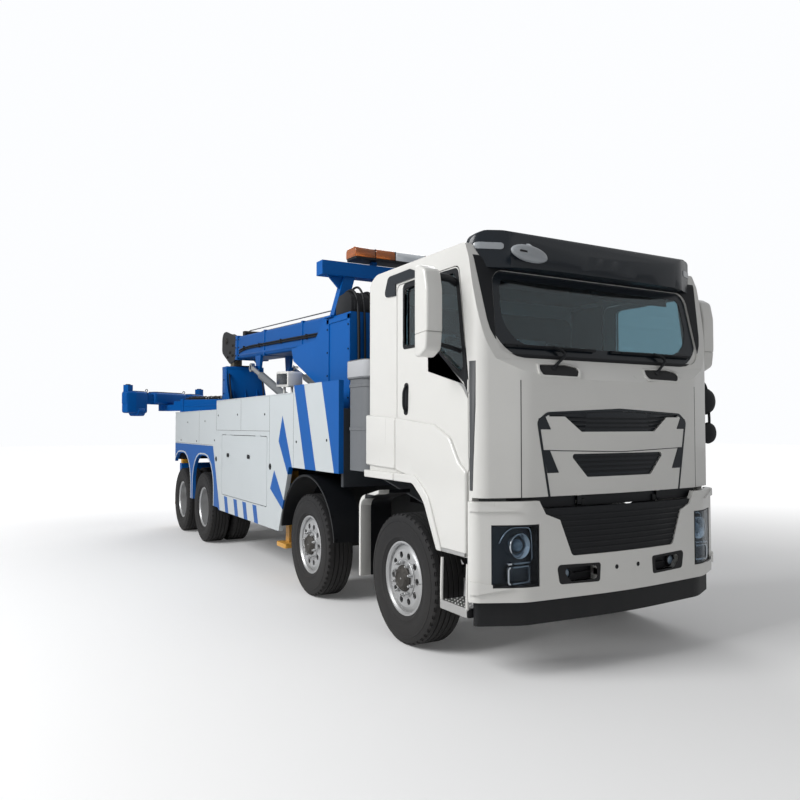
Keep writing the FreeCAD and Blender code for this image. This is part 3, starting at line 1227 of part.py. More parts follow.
# Winch drums on the mast's shaft
def drum():
    wall = S.drum_flange
    bore = S.drum_pin_radius + S.bearing_gap
    return turned([
        (bore, S.drum_half_in), (S.drum_flange_radius, S.drum_half_in),
        (S.drum_flange_radius, S.drum_half_in + wall), (S.drum_radius, S.drum_half_in + wall),
        (S.drum_radius, S.drum_half_out - wall), (S.drum_flange_radius, S.drum_half_out - wall),
        (S.drum_flange_radius, S.drum_half_out), (bore, S.drum_half_out),
    ])


node("winch_drums", *both(drum()), spot=(-S.drum_back, 0, S.drum_height))

# Boom, in its pivot's own place
boom_spot = (-S.boom_pivot_back, 0, S.boom_pivot_height)
boom_turn = (0, S.boom_tilt, 0)


def section(half, low, high, x0, x1, radius):
    return prism("x", x0, x1, [(-half, low, radius), (half, low, radius), (half, high, radius), (-half, high, radius)])


def boom():
    """The outer boom: a rounded box tube on two pivot lugs, with the pins of the lift rods."""
    low, high = S.boom_low, S.boom_low + S.boom_height
    wall = S.boom_wall
    tube = cut(section(S.boom_half, low, high, -S.boom_length, S.boom_foot, 45),
               section(S.boom_half - wall, low + wall, high - wall, -S.boom_length - 1, S.boom_foot - wall, 25))
    lug = prism("y", S.boom_lug_in, S.boom_lug_in + S.boom_lug_wall, [
        (-S.lug_radius, -S.lug_radius * 0.9, 80), (S.lug_radius, -S.lug_radius * 0.9, 80),
        (S.boom_foot - 20, low + 10), (-S.boom_lug_reach, low + 10),
    ])
    tilt_x = S.boom_pivot_back - S.lift_head_back
    rise = S.lift_head_height - S.boom_pivot_height
    pin_x = tilt_x * S.boom_tilt.cos() - rise * S.boom_tilt.sin()
    pin_z = rise * S.boom_tilt.cos() + tilt_x * S.boom_tilt.sin()
    ear = prism("y", S.boom_half - 45, S.boom_half, [
        (pin_x - 80, pin_z - 60, 45), (pin_x + 80, pin_z - 60, 45), (pin_x + 130, low + 10), (pin_x - 130, low + 10),
    ])
    stud = cylinder("y", (pin_x, pin_z), S.boom_half - 10, S.lift_half - S.lift_eye_width / 2 - 8, S.lift_pin_radius)
    bore = cylinder("y", (0, 0), -S.boom_half - 20, S.boom_half + 20, S.boom_pin_radius + S.bearing_gap)
    pad = box(-S.boom_length, S.pad_length - S.boom_length, -S.pad_half, S.pad_half, low + wall,
              low + wall + S.boom_slide_gap - S.seat_gap)
    return cut(joined(tube, pad, *both(lug), *both(ear), *both(stud)), bore)


def boom_inner():
    gap = S.boom_wall + S.boom_slide_gap
    low, high = S.boom_low + gap, S.boom_low + S.boom_height - gap
    outer = section(S.boom_half - gap, low, high, -S.inner_end, -S.inner_start, 20)
    wall = S.boom_wall
    hole = section(S.boom_half - gap - wall, low + wall, high - wall, -S.inner_end - 1, 1 - S.inner_start, 10)
    pad = box(-S.inner_start - S.pad_length, -S.inner_start, -S.pad_half, S.pad_half, high,
              high + S.boom_slide_gap - S.seat_gap)
    return joined(cut(outer, hole), pad)


def boom_head():
    """Two head plates round the inner boom's end, tied by the sheave pin, with two sheaves."""
    plate_in = S.boom_half - S.boom_wall - S.boom_slide_gap
    plates = prism("y", plate_in, plate_in + S.head_wall, [
        (-S.head_start, S.head_low + 60, 60), (-S.head_start, S.head_high - 60, 60),
        (-S.sheave_station + 60, S.head_high + 60, 120), (-S.head_end - 60, S.head_high + 40, 150),
        (-S.head_end - 60, S.head_low + 230, 120), (-S.inner_end - 60, S.head_low, 120),
    ])
    pin = cylinder("y", (-S.sheave_station, S.sheave_height), -plate_in - 5, plate_in + 5, S.rope_radius * 4)
    sheaves = []
    for s in (1, -1):
        wheel = cylinder("y", (-S.sheave_station, S.sheave_height), s * S.sheave_half - S.sheave_width / 2,
                         s * S.sheave_half + S.sheave_width / 2, S.sheave_radius)
        sheaves.append(wheel)
    return joined(*both(plates), pin, *sheaves)


def hook_block():
    """A block and hook hung on its rope from the boom's head."""
    x = -S.sheave_station - S.sheave_radius - S.rope_radius - S.glass_gap
    top = S.hook_top
    low = top - S.hook_block_height
    half = S.hook_block_width / 2
    case = prism("y", -half, half, [
        (x - S.hook_block_depth / 2, top, 60), (x + S.hook_block_depth / 2, top, 60),
        (x + S.hook_block_depth / 2, low + 90, 80), (x, low, 40), (x - S.hook_block_depth / 2, low + 90, 80),
    ])
    bend, throat = S.hook_bend, S.hook_throat
    eye_z = low - S.hook_shank - bend
    shank = cylinder("z", (x, 0), low - S.hook_shank - throat, low + 40, (bend - throat) / 2)
    thick = S.hook_thick / 2
    ring = cut(cylinder("y", (x, eye_z), -thick, thick, bend), cylinder("y", (x, eye_z), -thick - 1, thick + 1, throat))
    mouth = box(x - bend - 5, x, -thick - 5, thick + 5, eye_z, eye_z + bend + 5)
    ropes = [cylinder("z", (x, s * S.sheave_half), top - 60, S.sheave_height, S.rope_radius) for s in (1, -1)]
    yoke = box(x - 40, x + 40, -S.sheave_half - 30, S.sheave_half + 30, top - 70, top - 10)
    return joined(case, shank, cut(ring, mouth), *ropes, yoke)


node("boom", boom(), spot=boom_spot, turn=boom_turn)
node("boom_inner", boom_inner(), spot=boom_spot, turn=boom_turn)
node("boom_head", boom_head(), spot=boom_spot, turn=boom_turn)
node("hook_block", hook_block(), spot=boom_spot, turn=boom_turn)

# Lift cylinders, in their base pins' own place, lying along the line to the boom's ears
lift_run = S.lift_head_back - S.lift_base_back
lift_rise = S.lift_head_height - S.lift_base_height
lift_angle = math.degrees(math.atan2(lift_rise.number, lift_run.number))
lift_turn = (0, Size(lift_angle, f"atan2({lift_rise.text}; {lift_run.text})"), 0)
lift_length = math.hypot(lift_run.number, lift_rise.number)
lift_distance = Size(lift_length, f"hypot({lift_run.text}; {lift_rise.text})")
lift_spot = (-S.lift_base_back, 0, S.lift_base_height)


def eye(x, radius, pin):
    """A round lug across the cylinder's line with its pin hole."""
    half = S.lift_eye_width / 2
    outer = cylinder("y", (x, 0), S.lift_half - half, S.lift_half + half, radius)
    return cut(outer, cylinder("y", (x, 0), S.lift_half - half - 1, S.lift_half + half + 1, pin))


def lift_barrel():
    start = S.lift_eye_radius - 10
    tube = cylinder("x", (S.lift_half, 0), -S.barrel_length, -start, S.barrel_radius)
    bore = cylinder("x", (S.lift_half, 0), -S.barrel_length - 1, -start - S.barrel_base,
                    S.lift_rod_radius + S.bearing_gap)
    return joined(cut(tube, bore), eye(size(0), S.lift_eye_radius, S.lift_pin_radius + S.bearing_gap))


def lift_rod():
    end = lift_distance - S.lift_eye_radius + 10
    bar = cylinder("x", (S.lift_half, 0), -end, -S.lift_eye_radius - S.barrel_base, S.lift_rod_radius)
    return joined(bar, eye(-lift_distance, S.lift_eye_radius, S.lift_pin_radius + 8))


node("lift_barrels", *both(lift_barrel()), spot=lift_spot, turn=lift_turn)
node("lift_rods", *both(lift_rod()), spot=lift_spot, turn=lift_turn)


# Tail frame and underlift
def tail_frame():
    """Two guide channels at the tail, tied together and to the frame, with the rear leg sleeves."""
    front, rear = -S.tail_front, -S.tail_rear
    guide = prism("z", S.tail_bottom, S.tail_top, [
        (front, S.tail_in), (front, S.tail_out), (rear, S.tail_out), (rear, S.tail_in + 20),
        (rear + 30, S.tail_in + 20), (rear + 30, S.tail_out - 30), (front - 30, S.tail_out - 30),
        (front - 30, S.tail_in),
    ])
    parts = [*both(guide)]
    for z in (S.tail_bottom, S.rail_bottom, S.deck_top - 100, S.tail_top - 80):
        parts.append(box(front - 30, front, -S.tail_out, S.tail_out, z, z + 80))
    sleeve, bore, outer = leg_case(S.leg_rear_back)
    parts.extend(both(sleeve))
    arm = box(-S.leg_rear_back - outer, outer - S.leg_rear_back, S.tail_out - 5, S.leg_track_half - outer,
              S.leg_case_top - 120, S.leg_case_top)
    parts.extend(both(arm))
    parts.extend(both(box(front, -S.rail_rear_back, S.tail_in, S.tail_out, S.rail_bottom, S.rail_bottom + S.rail_height)))
    return cut(joined(*parts), *both(bore))


node("tail_frame", tail_frame())


def carriage():
    """The underlift's slide between the guides, with the fork of the swing pin."""
    gap = S.carriage_gap
    low, high = S.carriage_bottom, S.carriage_top
    back = -S.tail_rear
    block = box(-S.tail_front - 30 - gap, back - 20, gap + S.tail_in * -1, S.tail_in - gap, low, high)
    shoe = box(back + 30 + gap, -S.tail_front - 30 - gap, S.tail_in - gap - 5, S.tail_out - 30 - gap, low, high)
    eye_high = S.arm_height + S.arm_half
    eye_low = S.arm_height - S.arm_half
    fork = []
    for z0, z1 in ((eye_high + S.arm_lug_gap, eye_high + S.arm_lug_gap + S.arm_lug),
                   (eye_low - S.arm_lug_gap - S.arm_lug, eye_low - S.arm_lug_gap)):
        fork.append(prism("z", z0, z1, [
            (back - 10, -S.tail_in + 20), (-S.swing_pin_back - 90, -90, 85), (-S.swing_pin_back - 90, 90, 85),
            (back - 10, S.tail_in - 20),
        ]))
    plate = box(back - 45, back - 10, 20 - S.tail_in, S.tail_in - 20, eye_low - S.arm_lug_gap - S.arm_lug,
                eye_high + S.arm_lug_gap + S.arm_lug)
    pin = cylinder("z", (-S.swing_pin_back, 0), eye_low - S.arm_lug_gap - S.arm_lug - 10,
                   eye_high + S.arm_lug_gap + S.arm_lug + 10, S.swing_pin_radius)
    return joined(block, *both(shoe), *fork, plate, pin)


node("underlift_carriage", carriage())
swing_spot = (-S.swing_pin_back, 0, S.arm_height)
swing_turn = (S.arm_swing_angle, 0, 0)


def underlift_arm():
    """The swinging outer arm: a square tube behind a round eye."""
    half, wall = S.arm_half, S.arm_wall
    eye_post = cylinder("z", (0, 0), -half, half, S.arm_eye_radius)
    neck = box(-S.arm_start - 60, 0, -S.arm_eye_radius, S.arm_eye_radius, -half, half)
    tube = cut(section(half, -half, half, -S.arm_end, -S.arm_start, 20),
               section(half - wall, wall - half, half - wall, -S.arm_end - 1, -S.arm_start - 60, 10))
    bore = cylinder("z", (0, 0), -half - 1, half + 1, S.swing_pin_radius + S.bearing_gap)
    pad = box(-S.arm_end, S.pad_length - S.arm_end, -S.arm_pad_half, S.arm_pad_half, wall - half,
              wall - half + S.boom_slide_gap - S.seat_gap)
    return cut(joined(eye_post, neck, tube, pad), bore)


def stinger():
    """The inner arm, ending in a pad and the crossbar's pin."""
    half = S.arm_half - S.arm_wall - S.boom_slide_gap
    bar = section(half, -half, half, -S.stinger_end, -S.stinger_start, 10)
    pad = cylinder("z", (-S.crossbar_station, 0), -half, S.crossbar_bottom - 2, half + 40)
    neck = box(-S.crossbar_station, -S.stinger_end, -half, half, -half, S.crossbar_bottom - 2)
    pin = cylinder("z", (-S.crossbar_station, 0), -half, S.crossbar_bottom + S.crossbar_height + 20,
                   S.crossbar_pin_radius)
    shoe = box(-S.stinger_start - S.pad_length, -S.stinger_start, -S.arm_pad_half, S.arm_pad_half, half,
               half + S.boom_slide_gap - S.seat_gap)
    return joined(bar, pad, neck, pin, shoe)


def crossbar():
    """The swivelling crossbar, tapering to its ends, with a fork receiver near each end."""
    low, high = S.crossbar_bottom, S.crossbar_bottom + S.crossbar_height
    x = -S.crossbar_station
    deep, slim = S.crossbar_depth / 2, S.crossbar_end_depth / 2
    bar = prism("z", low, high, [
        (x - slim, -S.crossbar_half, S.crossbar_round), (x + slim, -S.crossbar_half, S.crossbar_round),
        (x + deep, -S.crossbar_shoulder, 60), (x + deep, S.crossbar_shoulder, 60),
        (x + slim, S.crossbar_half, S.crossbar_round), (x - slim, S.crossbar_half, S.crossbar_round),
        (x - deep, S.crossbar_shoulder, 60), (x - deep, -S.crossbar_shoulder, 60),
    ])
    bore = cylinder("z", (x, 0), low - 1, high + 1, S.crossbar_pin_radius + S.bearing_gap)
    sockets = []
    holes = []
    for s in (1, -1):
        y = s * S.receiver_half_track
        half = S.receiver_half + 15
        sockets.append(box(x - half, x + half, y - half, y + half, high - 5, high + S.receiver_reach))
        holes.append(cylinder("z", (x, y), high + 20, high + S.receiver_reach + 1, S.receiver_bore))
    return cut(joined(bar, *sockets), bore, *holes)


node("underlift_arm", underlift_arm(), spot=swing_spot, turn=swing_turn)
node("underlift_stinger", stinger(), spot=swing_spot, turn=swing_turn)
node("underlift_crossbar", crossbar(), spot=swing_spot, turn=swing_turn)


# Outrigger legs
def leg(back):
    half = S.leg_half
    track = S.leg_track_half
    post = box(-back - half, half - back, track - half, track + half, S.foot_bottom + 10, S.leg_top)
    foot = prism("z", S.foot_bottom, S.foot_bottom + S.foot_thick, [
        (-back - S.foot_half, track - S.foot_half, 25), (S.foot_half - back, track - S.foot_half, 25),
        (S.foot_half - back, track + S.foot_half, 25), (-back - S.foot_half, track + S.foot_half, 25),
    ])
    return both(joined(post, foot))


node("front_legs", *leg(S.leg_front_back))
node("rear_legs", *leg(S.leg_rear_back))

doc.recompute()
failed = [part.Name for part in doc.Objects if {"Invalid", "Error"} & set(part.State)]
for part in nodes:
    if part.Shape.isNull() or not part.Shape.isValid():
        failed.append(part.Label)
if failed:
    raise RuntimeError("These objects failed: " + ", ".join(failed))
os.makedirs("parts", exist_ok=True)
for part in nodes:
    part.Shape.exportStep(f"parts/{part.Label}.step")
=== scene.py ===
import math

import bmesh
import bpy
from mathutils import Matrix, Vector


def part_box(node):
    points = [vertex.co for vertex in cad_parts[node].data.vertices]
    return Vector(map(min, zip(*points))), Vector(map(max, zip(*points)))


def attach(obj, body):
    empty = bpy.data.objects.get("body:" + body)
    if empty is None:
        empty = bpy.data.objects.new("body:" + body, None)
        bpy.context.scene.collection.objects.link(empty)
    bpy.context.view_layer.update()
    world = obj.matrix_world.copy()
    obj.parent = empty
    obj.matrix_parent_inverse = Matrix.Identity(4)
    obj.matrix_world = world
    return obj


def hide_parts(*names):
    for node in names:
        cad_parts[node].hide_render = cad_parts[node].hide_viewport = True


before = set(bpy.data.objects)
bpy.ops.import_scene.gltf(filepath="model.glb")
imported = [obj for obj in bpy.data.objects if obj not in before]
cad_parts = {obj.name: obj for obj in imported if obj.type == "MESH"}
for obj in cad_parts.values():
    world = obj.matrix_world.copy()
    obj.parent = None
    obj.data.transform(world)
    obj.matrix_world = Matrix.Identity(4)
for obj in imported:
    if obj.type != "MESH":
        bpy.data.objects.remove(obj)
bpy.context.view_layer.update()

# Places are measured in metres from the first axle and the truck's centre plane, as in the CAD
# source, with +X forward and +Y to the left. HOME carries them to the row frame.
tyre_low, tyre_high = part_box("tyre_1_right")
cab_low, cab_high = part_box("cab_shell")
HOME = Vector(((tyre_low.x + tyre_high.x) / 2, (cab_low.y + cab_high.y) / 2, 0))
SIDES = (("left", 1), ("right", -1))


# Small tools
def deselect():
    if bpy.context.object and bpy.context.object.mode != "OBJECT":
        bpy.ops.object.mode_set(mode="OBJECT")
    bpy.ops.object.select_all(action="DESELECT")


def pick(*pieces):
    deselect()
    for piece in pieces:
        piece.select_set(True)
    bpy.context.view_layer.objects.active = pieces[0]
    return pieces[0]


def named(name):
    piece = bpy.context.object
    piece.name = name
    piece.data.name = name
    bpy.ops.object.transform_apply(location=True, rotation=True, scale=True)
    return piece


def block(name, low, high):
    """A box between two corners."""
    deselect()
    low, high = Vector(low), Vector(high)
    bpy.ops.mesh.primitive_cube_add(size=1, location=(low + high) / 2)
    bpy.context.object.scale = high - low
    return named(name)


def rod(name, start, end, radius, sides=24, end_radius=None):
    """A round bar between two points, which may taper."""
    deselect()
    start, end = Vector(start), Vector(end)
    axis = end - start
    bpy.ops.mesh.primitive_cone_add(
        vertices=sides, radius1=radius, radius2=radius if end_radius is None else end_radius,
        depth=axis.length, location=(start + end) / 2, rotation=axis.to_track_quat("Z", "Y").to_euler())
    return named(name)


def rounded(corners, steps=6):
    """Corner points (u, v) or (u, v, radius) with each radius drawn as an arc."""
    points = []
    count = len(corners)
    for i, corner in enumerate(corners):
        here = Vector(corner[:2])
        if len(corner) < 3 or not corner[2]:
            points.append(here)
            continue
        back = (Vector(corners[i - 1][:2]) - here).normalized()
        ahead = (Vector(corners[(i + 1) % count][:2]) - here).normalized()
        half = back.angle(ahead) / 2
        middle = here + (back + ahead).normalized() * corner[2] / math.sin(half)
        first = here + back * corner[2] / math.tan(half) - middle
        turn = math.pi - 2 * half
        if back.x * ahead.y - back.y * ahead.x > 0:
            turn = -turn
        for k in range(steps + 1):
            angle = turn * k / steps
            points.append(middle + Vector((
                first.x * math.cos(angle) - first.y * math.sin(angle),
                first.x * math.sin(angle) + first.y * math.cos(angle))))
    return points


def oblong(u0, v0, u1, v1, radius=0):
    """A rectangle's corners, with one radius for all."""
    return [(u0, v0, radius), (u1, v0, radius), (u1, v1, radius), (u0, v1, radius)]


def arc(u, v, radius, degrees):
    return [(u + radius * math.cos(math.radians(a)), v + radius * math.sin(math.radians(a))) for a in degrees]


def reflected(outline):
    return [(-corner[0], *corner[1:]) for corner in outline]


def plate(name, axis, low, high, corners, steps=6):
    """An outline drawn through from low to high. Across y it reads (x, z), across x (y, z), across z (x, y)."""
    points = rounded(corners, steps)
    deselect()
    bpy.ops.mesh.primitive_circle_add(vertices=len(points), radius=1, fill_type="NGON")
    piece = named(name)
    spot = {"x": lambda u, v, w: (w, u, v), "y": lambda u, v, w: (u, w, v), "z": lambda u, v, w: (u, v, w)}[axis]
    for vertex, point in zip(piece.data.vertices, points):
        vertex.co = spot(point.x, point.y, low)
    bpy.ops.object.mode_set(mode="EDIT")
    bpy.ops.mesh.select_all(action="SELECT")
    bpy.ops.mesh.extrude_region_move(TRANSFORM_OT_translate={"value": spot(0, 0, high - low)})
    bpy.ops.mesh.select_all(action="SELECT")
    bpy.ops.mesh.normals_make_consistent(inside=False)
    bpy.ops.object.mode_set(mode="OBJECT")
    return piece


def flank(name, s, near, far, corners, steps=6):
    """A plate across y on the left, where s is 1, or on the right, where it is -1."""
    return plate(name, "y", *sorted((s * near, s * far)), corners, steps)


def pipe(name, points, radius, sides=12):
    """A round tube along a smooth line that its control points guide."""
    curve = bpy.data.curves.new(name, "CURVE")
    curve.dimensions = "3D"
    curve.bevel_depth = radius
    curve.bevel_resolution = max(1, sides // 4 - 1)
    curve.use_fill_caps = True
    spline = curve.splines.new("NURBS")
    spline.points.add(len(points) - 1)
    for spot, point in zip(spline.points, points):
        spot.co = (*point, 1)
    spline.order_u = 3
    spline.use_endpoint_u = True
    spline.resolution_u = 8
    piece = bpy.data.objects.new(name, curve)
    bpy.context.scene.collection.objects.link(piece)
    pick(piece)
    bpy.ops.object.convert(target="MESH")
    piece = bpy.context.object
    bpy.ops.object.shade_smooth()
    return piece


def turned(name, profile, centre, steps=48, axis="y"):
    """A closed ring: a profile of (radius, along) corners spun about an axis through centre."""
    deselect()
    bpy.ops.mesh.primitive_circle_add(vertices=len(profile), radius=1, fill_type="NOTHING")
    piece = named(name)
    centre = Vector(centre)
    along = {"x": Vector((1, 0, 0)), "y": Vector((0, 1, 0)), "z": Vector((0, 0, 1))}[axis]
    out = Vector((0, 0, 1)) if axis != "z" else Vector((1, 0, 0))
    for vertex, (radius, step) in zip(piece.data.vertices, profile):
        vertex.co = centre + out * radius + along * step
    bpy.ops.object.mode_set(mode="EDIT")
    bpy.ops.mesh.select_all(action="SELECT")
    bpy.ops.mesh.spin(steps=steps, angle=math.tau, center=centre, axis=along)
    bpy.ops.mesh.select_all(action="SELECT")
    bpy.ops.mesh.remove_doubles(threshold=1e-5)
    bpy.ops.mesh.normals_make_consistent(inside=False)
    bpy.ops.object.mode_set(mode="OBJECT")
    return piece


def modify(piece, kind, **values):
    """Adds a modifier with these values and applies it."""
    pick(piece)
    modifier = piece.modifiers.new(kind.lower(), kind)
    for name, value in values.items():
        setattr(modifier, name, value)
    bpy.ops.object.modifier_apply(modifier=modifier.name)
    return piece


def carve(piece, cutter, operation="DIFFERENCE"):
    """Cuts a piece by another, which is used up."""
    modify(piece, "BOOLEAN", operation=operation, object=cutter, solver="EXACT")
    bpy.data.objects.remove(cutter)
    return piece


def band(name, axis, low, high, outer, inner):
    """A flat ring between two outlines."""
    return carve(plate(name, axis, low, high, outer), plate("hole", axis, low - 0.01, high + 0.01, inner))


def soften(piece, width=0.004, segments=2, angle=32):
    """Rounds the sharp edges and shades what is left smoothly."""
    if width:
        modify(piece, "BEVEL", width=width, segments=segments, limit_method="ANGLE",
               angle_limit=math.radians(angle), use_clamp_overlap=True, harden_normals=False)
    pick(piece)
    bpy.ops.object.shade_smooth_by_angle(angle=math.radians(38))
    return piece


def select_faces(piece, wanted):
    """Edit mode with only the faces that wanted(centre, normal) accepts."""
    pick(piece)
    bpy.ops.object.mode_set(mode="EDIT")
    bpy.ops.mesh.select_mode(type="FACE")
    bpy.ops.mesh.select_all(action="DESELECT")
    mesh = bmesh.from_edit_mesh(piece.data)
    for face in mesh.faces:
        face.select_set(bool(wanted(face.calc_center_median(), face.normal)))
    mesh.select_flush_mode()
    bmesh.update_edit_mesh(piece.data)


def joined(name, *pieces):
    pick(*pieces)
    if len(pieces) > 1:
        bpy.ops.object.join()
    piece = bpy.context.object
    piece.name = name
    piece.data.name = name
    return piece


def copied(piece, name, matrix=None):
    other = piece.copy()
    other.data = piece.data.copy()
    other.name = name
    other.data.name = name
    bpy.context.scene.collection.objects.link(other)
    if matrix is not None:
        other.data.transform(matrix)
        if matrix.determinant() < 0:
            other.data.flip_normals()
    return other


MIRROR = Matrix.Scale(-1, 4, (0, 1, 0))


def both(piece):
    """The piece and its mirror image in the centre plane, as one mesh."""
    return joined(piece.name, piece, copied(piece, "other", MIRROR))


def turn_about(point, axis, degrees):
    point = Vector(point)
    return Matrix.Translation(point) @ Matrix.Rotation(math.radians(degrees), 4, axis) @ Matrix.Translation(-point)


def shrunk(piece, centre, factors):
    """The piece scaled about a centre."""
    matrix = Matrix.Translation(centre) @ Matrix.Diagonal((*factors, 1)) @ Matrix.Translation(-Vector(centre))
    piece.data.transform(matrix)
    return piece


def finish(piece, body, look, *stands_for, slot=None):
    """Carries a finished piece to the row frame, gives it its look's material and hangs it on its body. The slot is
    not used.
    """
    piece.data.transform(Matrix.Translation(HOME))
    piece.data.materials.clear()
    piece.data.materials.append(MATERIALS[look])
    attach(piece, body)
    if stands_for:
        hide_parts(*stands_for)


def fit(name, parts, softness, body, look, *stands_for, slot=None, place=None):
    """Joins parts as one piece, softens it, moves it by place, and finishes it."""
    piece = joined(name, *parts)
    if softness:
        soften(piece, *softness)
    if place:
        piece.data.transform(place)
    finish(piece, body, look, *stands_for, slot=slot)


def dressed(node, name):
    """A merged copy of a CAD node, measured from the first axle."""
    piece = copied(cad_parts[node], name, Matrix.Translation(-HOME))
    piece.parent = None
    for key in [key for key in piece.keys() if key.startswith("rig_")]:
        del piece[key]
    pick(piece)
    bpy.ops.object.mode_set(mode="EDIT")
    bpy.ops.mesh.select_all(action="SELECT")
    bpy.ops.mesh.remove_doubles(threshold=2e-5)
    bpy.ops.mesh.dissolve_limited(angle_limit=math.radians(0.6))
    bpy.ops.object.mode_set(mode="OBJECT")
    return soften(piece, 0)


# Shader groups
def new_group(name, inputs, outputs):
    tree = bpy.data.node_groups.new(name, "ShaderNodeTree")
    for kind, label, value in inputs:
        tree.interface.new_socket(label, in_out="INPUT", socket_type=kind).default_value = value
    for kind, label in outputs:
        tree.interface.new_socket(label, in_out="OUTPUT", socket_type=kind)
    return tree, tree.nodes.new("NodeGroupInput"), tree.nodes.new("NodeGroupOutput")


COLOUR, NUMBER = "NodeSocketColor", "NodeSocketFloat"


def add(tree, kind, **values):
    node = tree.nodes.new(kind)
    for name, value in values.items():
        setattr(node, name, value)
    return node


def feed(tree, node, values):
    """Sets a node's sockets, by name or number, to values, or links them to what they come from."""
    for socket, value in values.items():
        if isinstance(value, bpy.types.NodeSocket):
            tree.links.new(value, node.inputs[socket])
        else:
            node.inputs[socket].default_value = value
    return node


def math_node(tree, operation, first, second, clamp=False):
    node = add(tree, "ShaderNodeMath", operation=operation, use_clamp=clamp)
    return feed(tree, node, {0: first, 1: second}).outputs[0]


def mix_colour(tree, factor, first, second):
    node = add(tree, "ShaderNodeMix", data_type="RGBA")
    return feed(tree, node, {"Factor": factor, 6: first, 7: second}).outputs[2]


def noise(tree, vector, scale, detail=3.0):
    node = add(tree, "ShaderNodeTexNoise")
    return feed(tree, node, {"Detail": detail, "Roughness": 0.55, "Vector": vector, "Scale": scale}).outputs["Fac"]


def make_finish_group():
    """Soft variation of colour and gloss, with road dust that gathers low down."""
    tree, given, out = new_group("finish", [
        (COLOUR, "Colour", (0.8, 0.8, 0.8, 1)), (COLOUR, "Dust", (0.30, 0.27, 0.23, 1)),
        (NUMBER, "Variation", 0.06), (NUMBER, "Dusting", 0.3), (NUMBER, "Dust top", 1.2),
        (NUMBER, "Gloss", 0.3), (NUMBER, "Grain", 300.0),
    ], [(COLOUR, "Colour"), (NUMBER, "Roughness"), (NUMBER, "Height")])
    place = tree.nodes.new("ShaderNodeTexCoord").outputs["Object"]
    broad = noise(tree, place, 1.7)
    fine = noise(tree, place, given.outputs["Grain"], 2.0)
    streak = feed(tree, add(tree, "ShaderNodeMapping"), {"Scale": (9, 9, 0.8), "Vector": place})
    runs = noise(tree, streak.outputs[0], 1.0, 5.0)
    height = feed(tree, add(tree, "ShaderNodeSeparateXYZ"), {0: place})
    low = feed(tree, add(tree, "ShaderNodeMapRange", interpolation_type="SMOOTHSTEP"), {
        "From Min": 0.25, "From Max": given.outputs["Dust top"], "To Min": 1.0, "To Max": 0.0,
        "Value": height.outputs["Z"]})
    patch = math_node(tree, "MULTIPLY", low.outputs[0], math_node(tree, "ADD", runs, 0.25), clamp=True)
    dust = math_node(tree, "MULTIPLY", patch, given.outputs["Dusting"], clamp=True)
    shade = math_node(tree, "MULTIPLY", math_node(tree, "SUBTRACT", broad, 0.5), given.outputs["Variation"])
    bright = math_node(tree, "ADD", shade, 1.0)
    scaled = feed(tree, add(tree, "ShaderNodeVectorMath", operation="SCALE"), {0: given.outputs["Colour"],
                                                                               "Scale": bright})
    worn = math_node(tree, "ADD", given.outputs["Gloss"], math_node(tree, "MULTIPLY", dust, 0.5))
    vary = math_node(tree, "MULTIPLY", math_node(tree, "SUBTRACT", runs, 0.5), 0.03)
    feed(tree, out, {"Colour": mix_colour(tree, dust, scaled.outputs[0], given.outputs["Dust"]),
                     "Roughness": math_node(tree, "ADD", worn, vary, clamp=True), "Height": fine})
    return tree


def make_slab_group():
    """1 where U, less Slope times V, lies between Low and High, and V between Foot and Head."""
    tree, given, out = new_group("slab", [
        (NUMBER, "U", 0.0), (NUMBER, "V", 0.0), (NUMBER, "Low", 0.0), (NUMBER, "High", 1.0),
        (NUMBER, "Slope", 0.0), (NUMBER, "Foot", -100.0), (NUMBER, "Head", 100.0),
    ], [(NUMBER, "Mask")])
    lean = math_node(tree, "SUBTRACT", given.outputs["U"],
                     math_node(tree, "MULTIPLY", given.outputs["V"], given.outputs["Slope"]))
    mask = None
    for operation, value, limit in (("GREATER_THAN", lean, "Low"), ("LESS_THAN", lean, "High"),
                                    ("GREATER_THAN", given.outputs["V"], "Foot"),
                                    ("LESS_THAN", given.outputs["V"], "Head")):
        part = math_node(tree, operation, value, given.outputs[limit])
        mask = part if mask is None else math_node(tree, "MULTIPLY", mask, part)
    tree.links.new(mask, out.inputs["Mask"])
    return tree


FINISH = make_finish_group()
SLAB = make_slab_group()


def material(name, colour, roughness, metallic=0.0, coat=0.0, variation=0.06, dusting=0.15, dust_top=1.2,
             grain=300.0, bump=0.0, specular=0.5, paint=None, **sockets):
    """A finish from the shared group. paint(tree, colour) may draw over the base colour."""
    made = bpy.data.materials.new(name)
    made.use_nodes = True
    tree = made.node_tree
    base = (*colour, 1)
    group = feed(tree, add(tree, "ShaderNodeGroup", node_tree=FINISH), {
        "Colour": paint(tree, base) if paint else base, "Variation": variation, "Dusting": dusting,
        "Dust top": dust_top, "Gloss": roughness, "Grain": grain})
    shader = feed(tree, tree.nodes["Principled BSDF"], {
        "Base Color": group.outputs["Colour"], "Roughness": group.outputs["Roughness"], "Metallic": metallic,
        "Coat Weight": coat, "Coat Roughness": 0.08, "Specular IOR Level": specular,
        **{label.replace("_", " "): value for label, value in sockets.items()}})
    if bump:
        relief = feed(tree, add(tree, "ShaderNodeBump"), {
            "Strength": bump, "Distance": 0.002, "Height": group.outputs["Height"]})
        feed(tree, shader, {"Normal": relief.outputs[0]})
    return made


def truck_place(tree):
    """Object coordinates measured from the first axle and the centre plane, split in three."""
    place = tree.nodes.new("ShaderNodeTexCoord").outputs["Object"]
    mapping = feed(tree, add(tree, "ShaderNodeMapping"), {"Location": -HOME, "Vector": place})
    return feed(tree, add(tree, "ShaderNodeSeparateXYZ"), {0: mapping.outputs[0]}).outputs


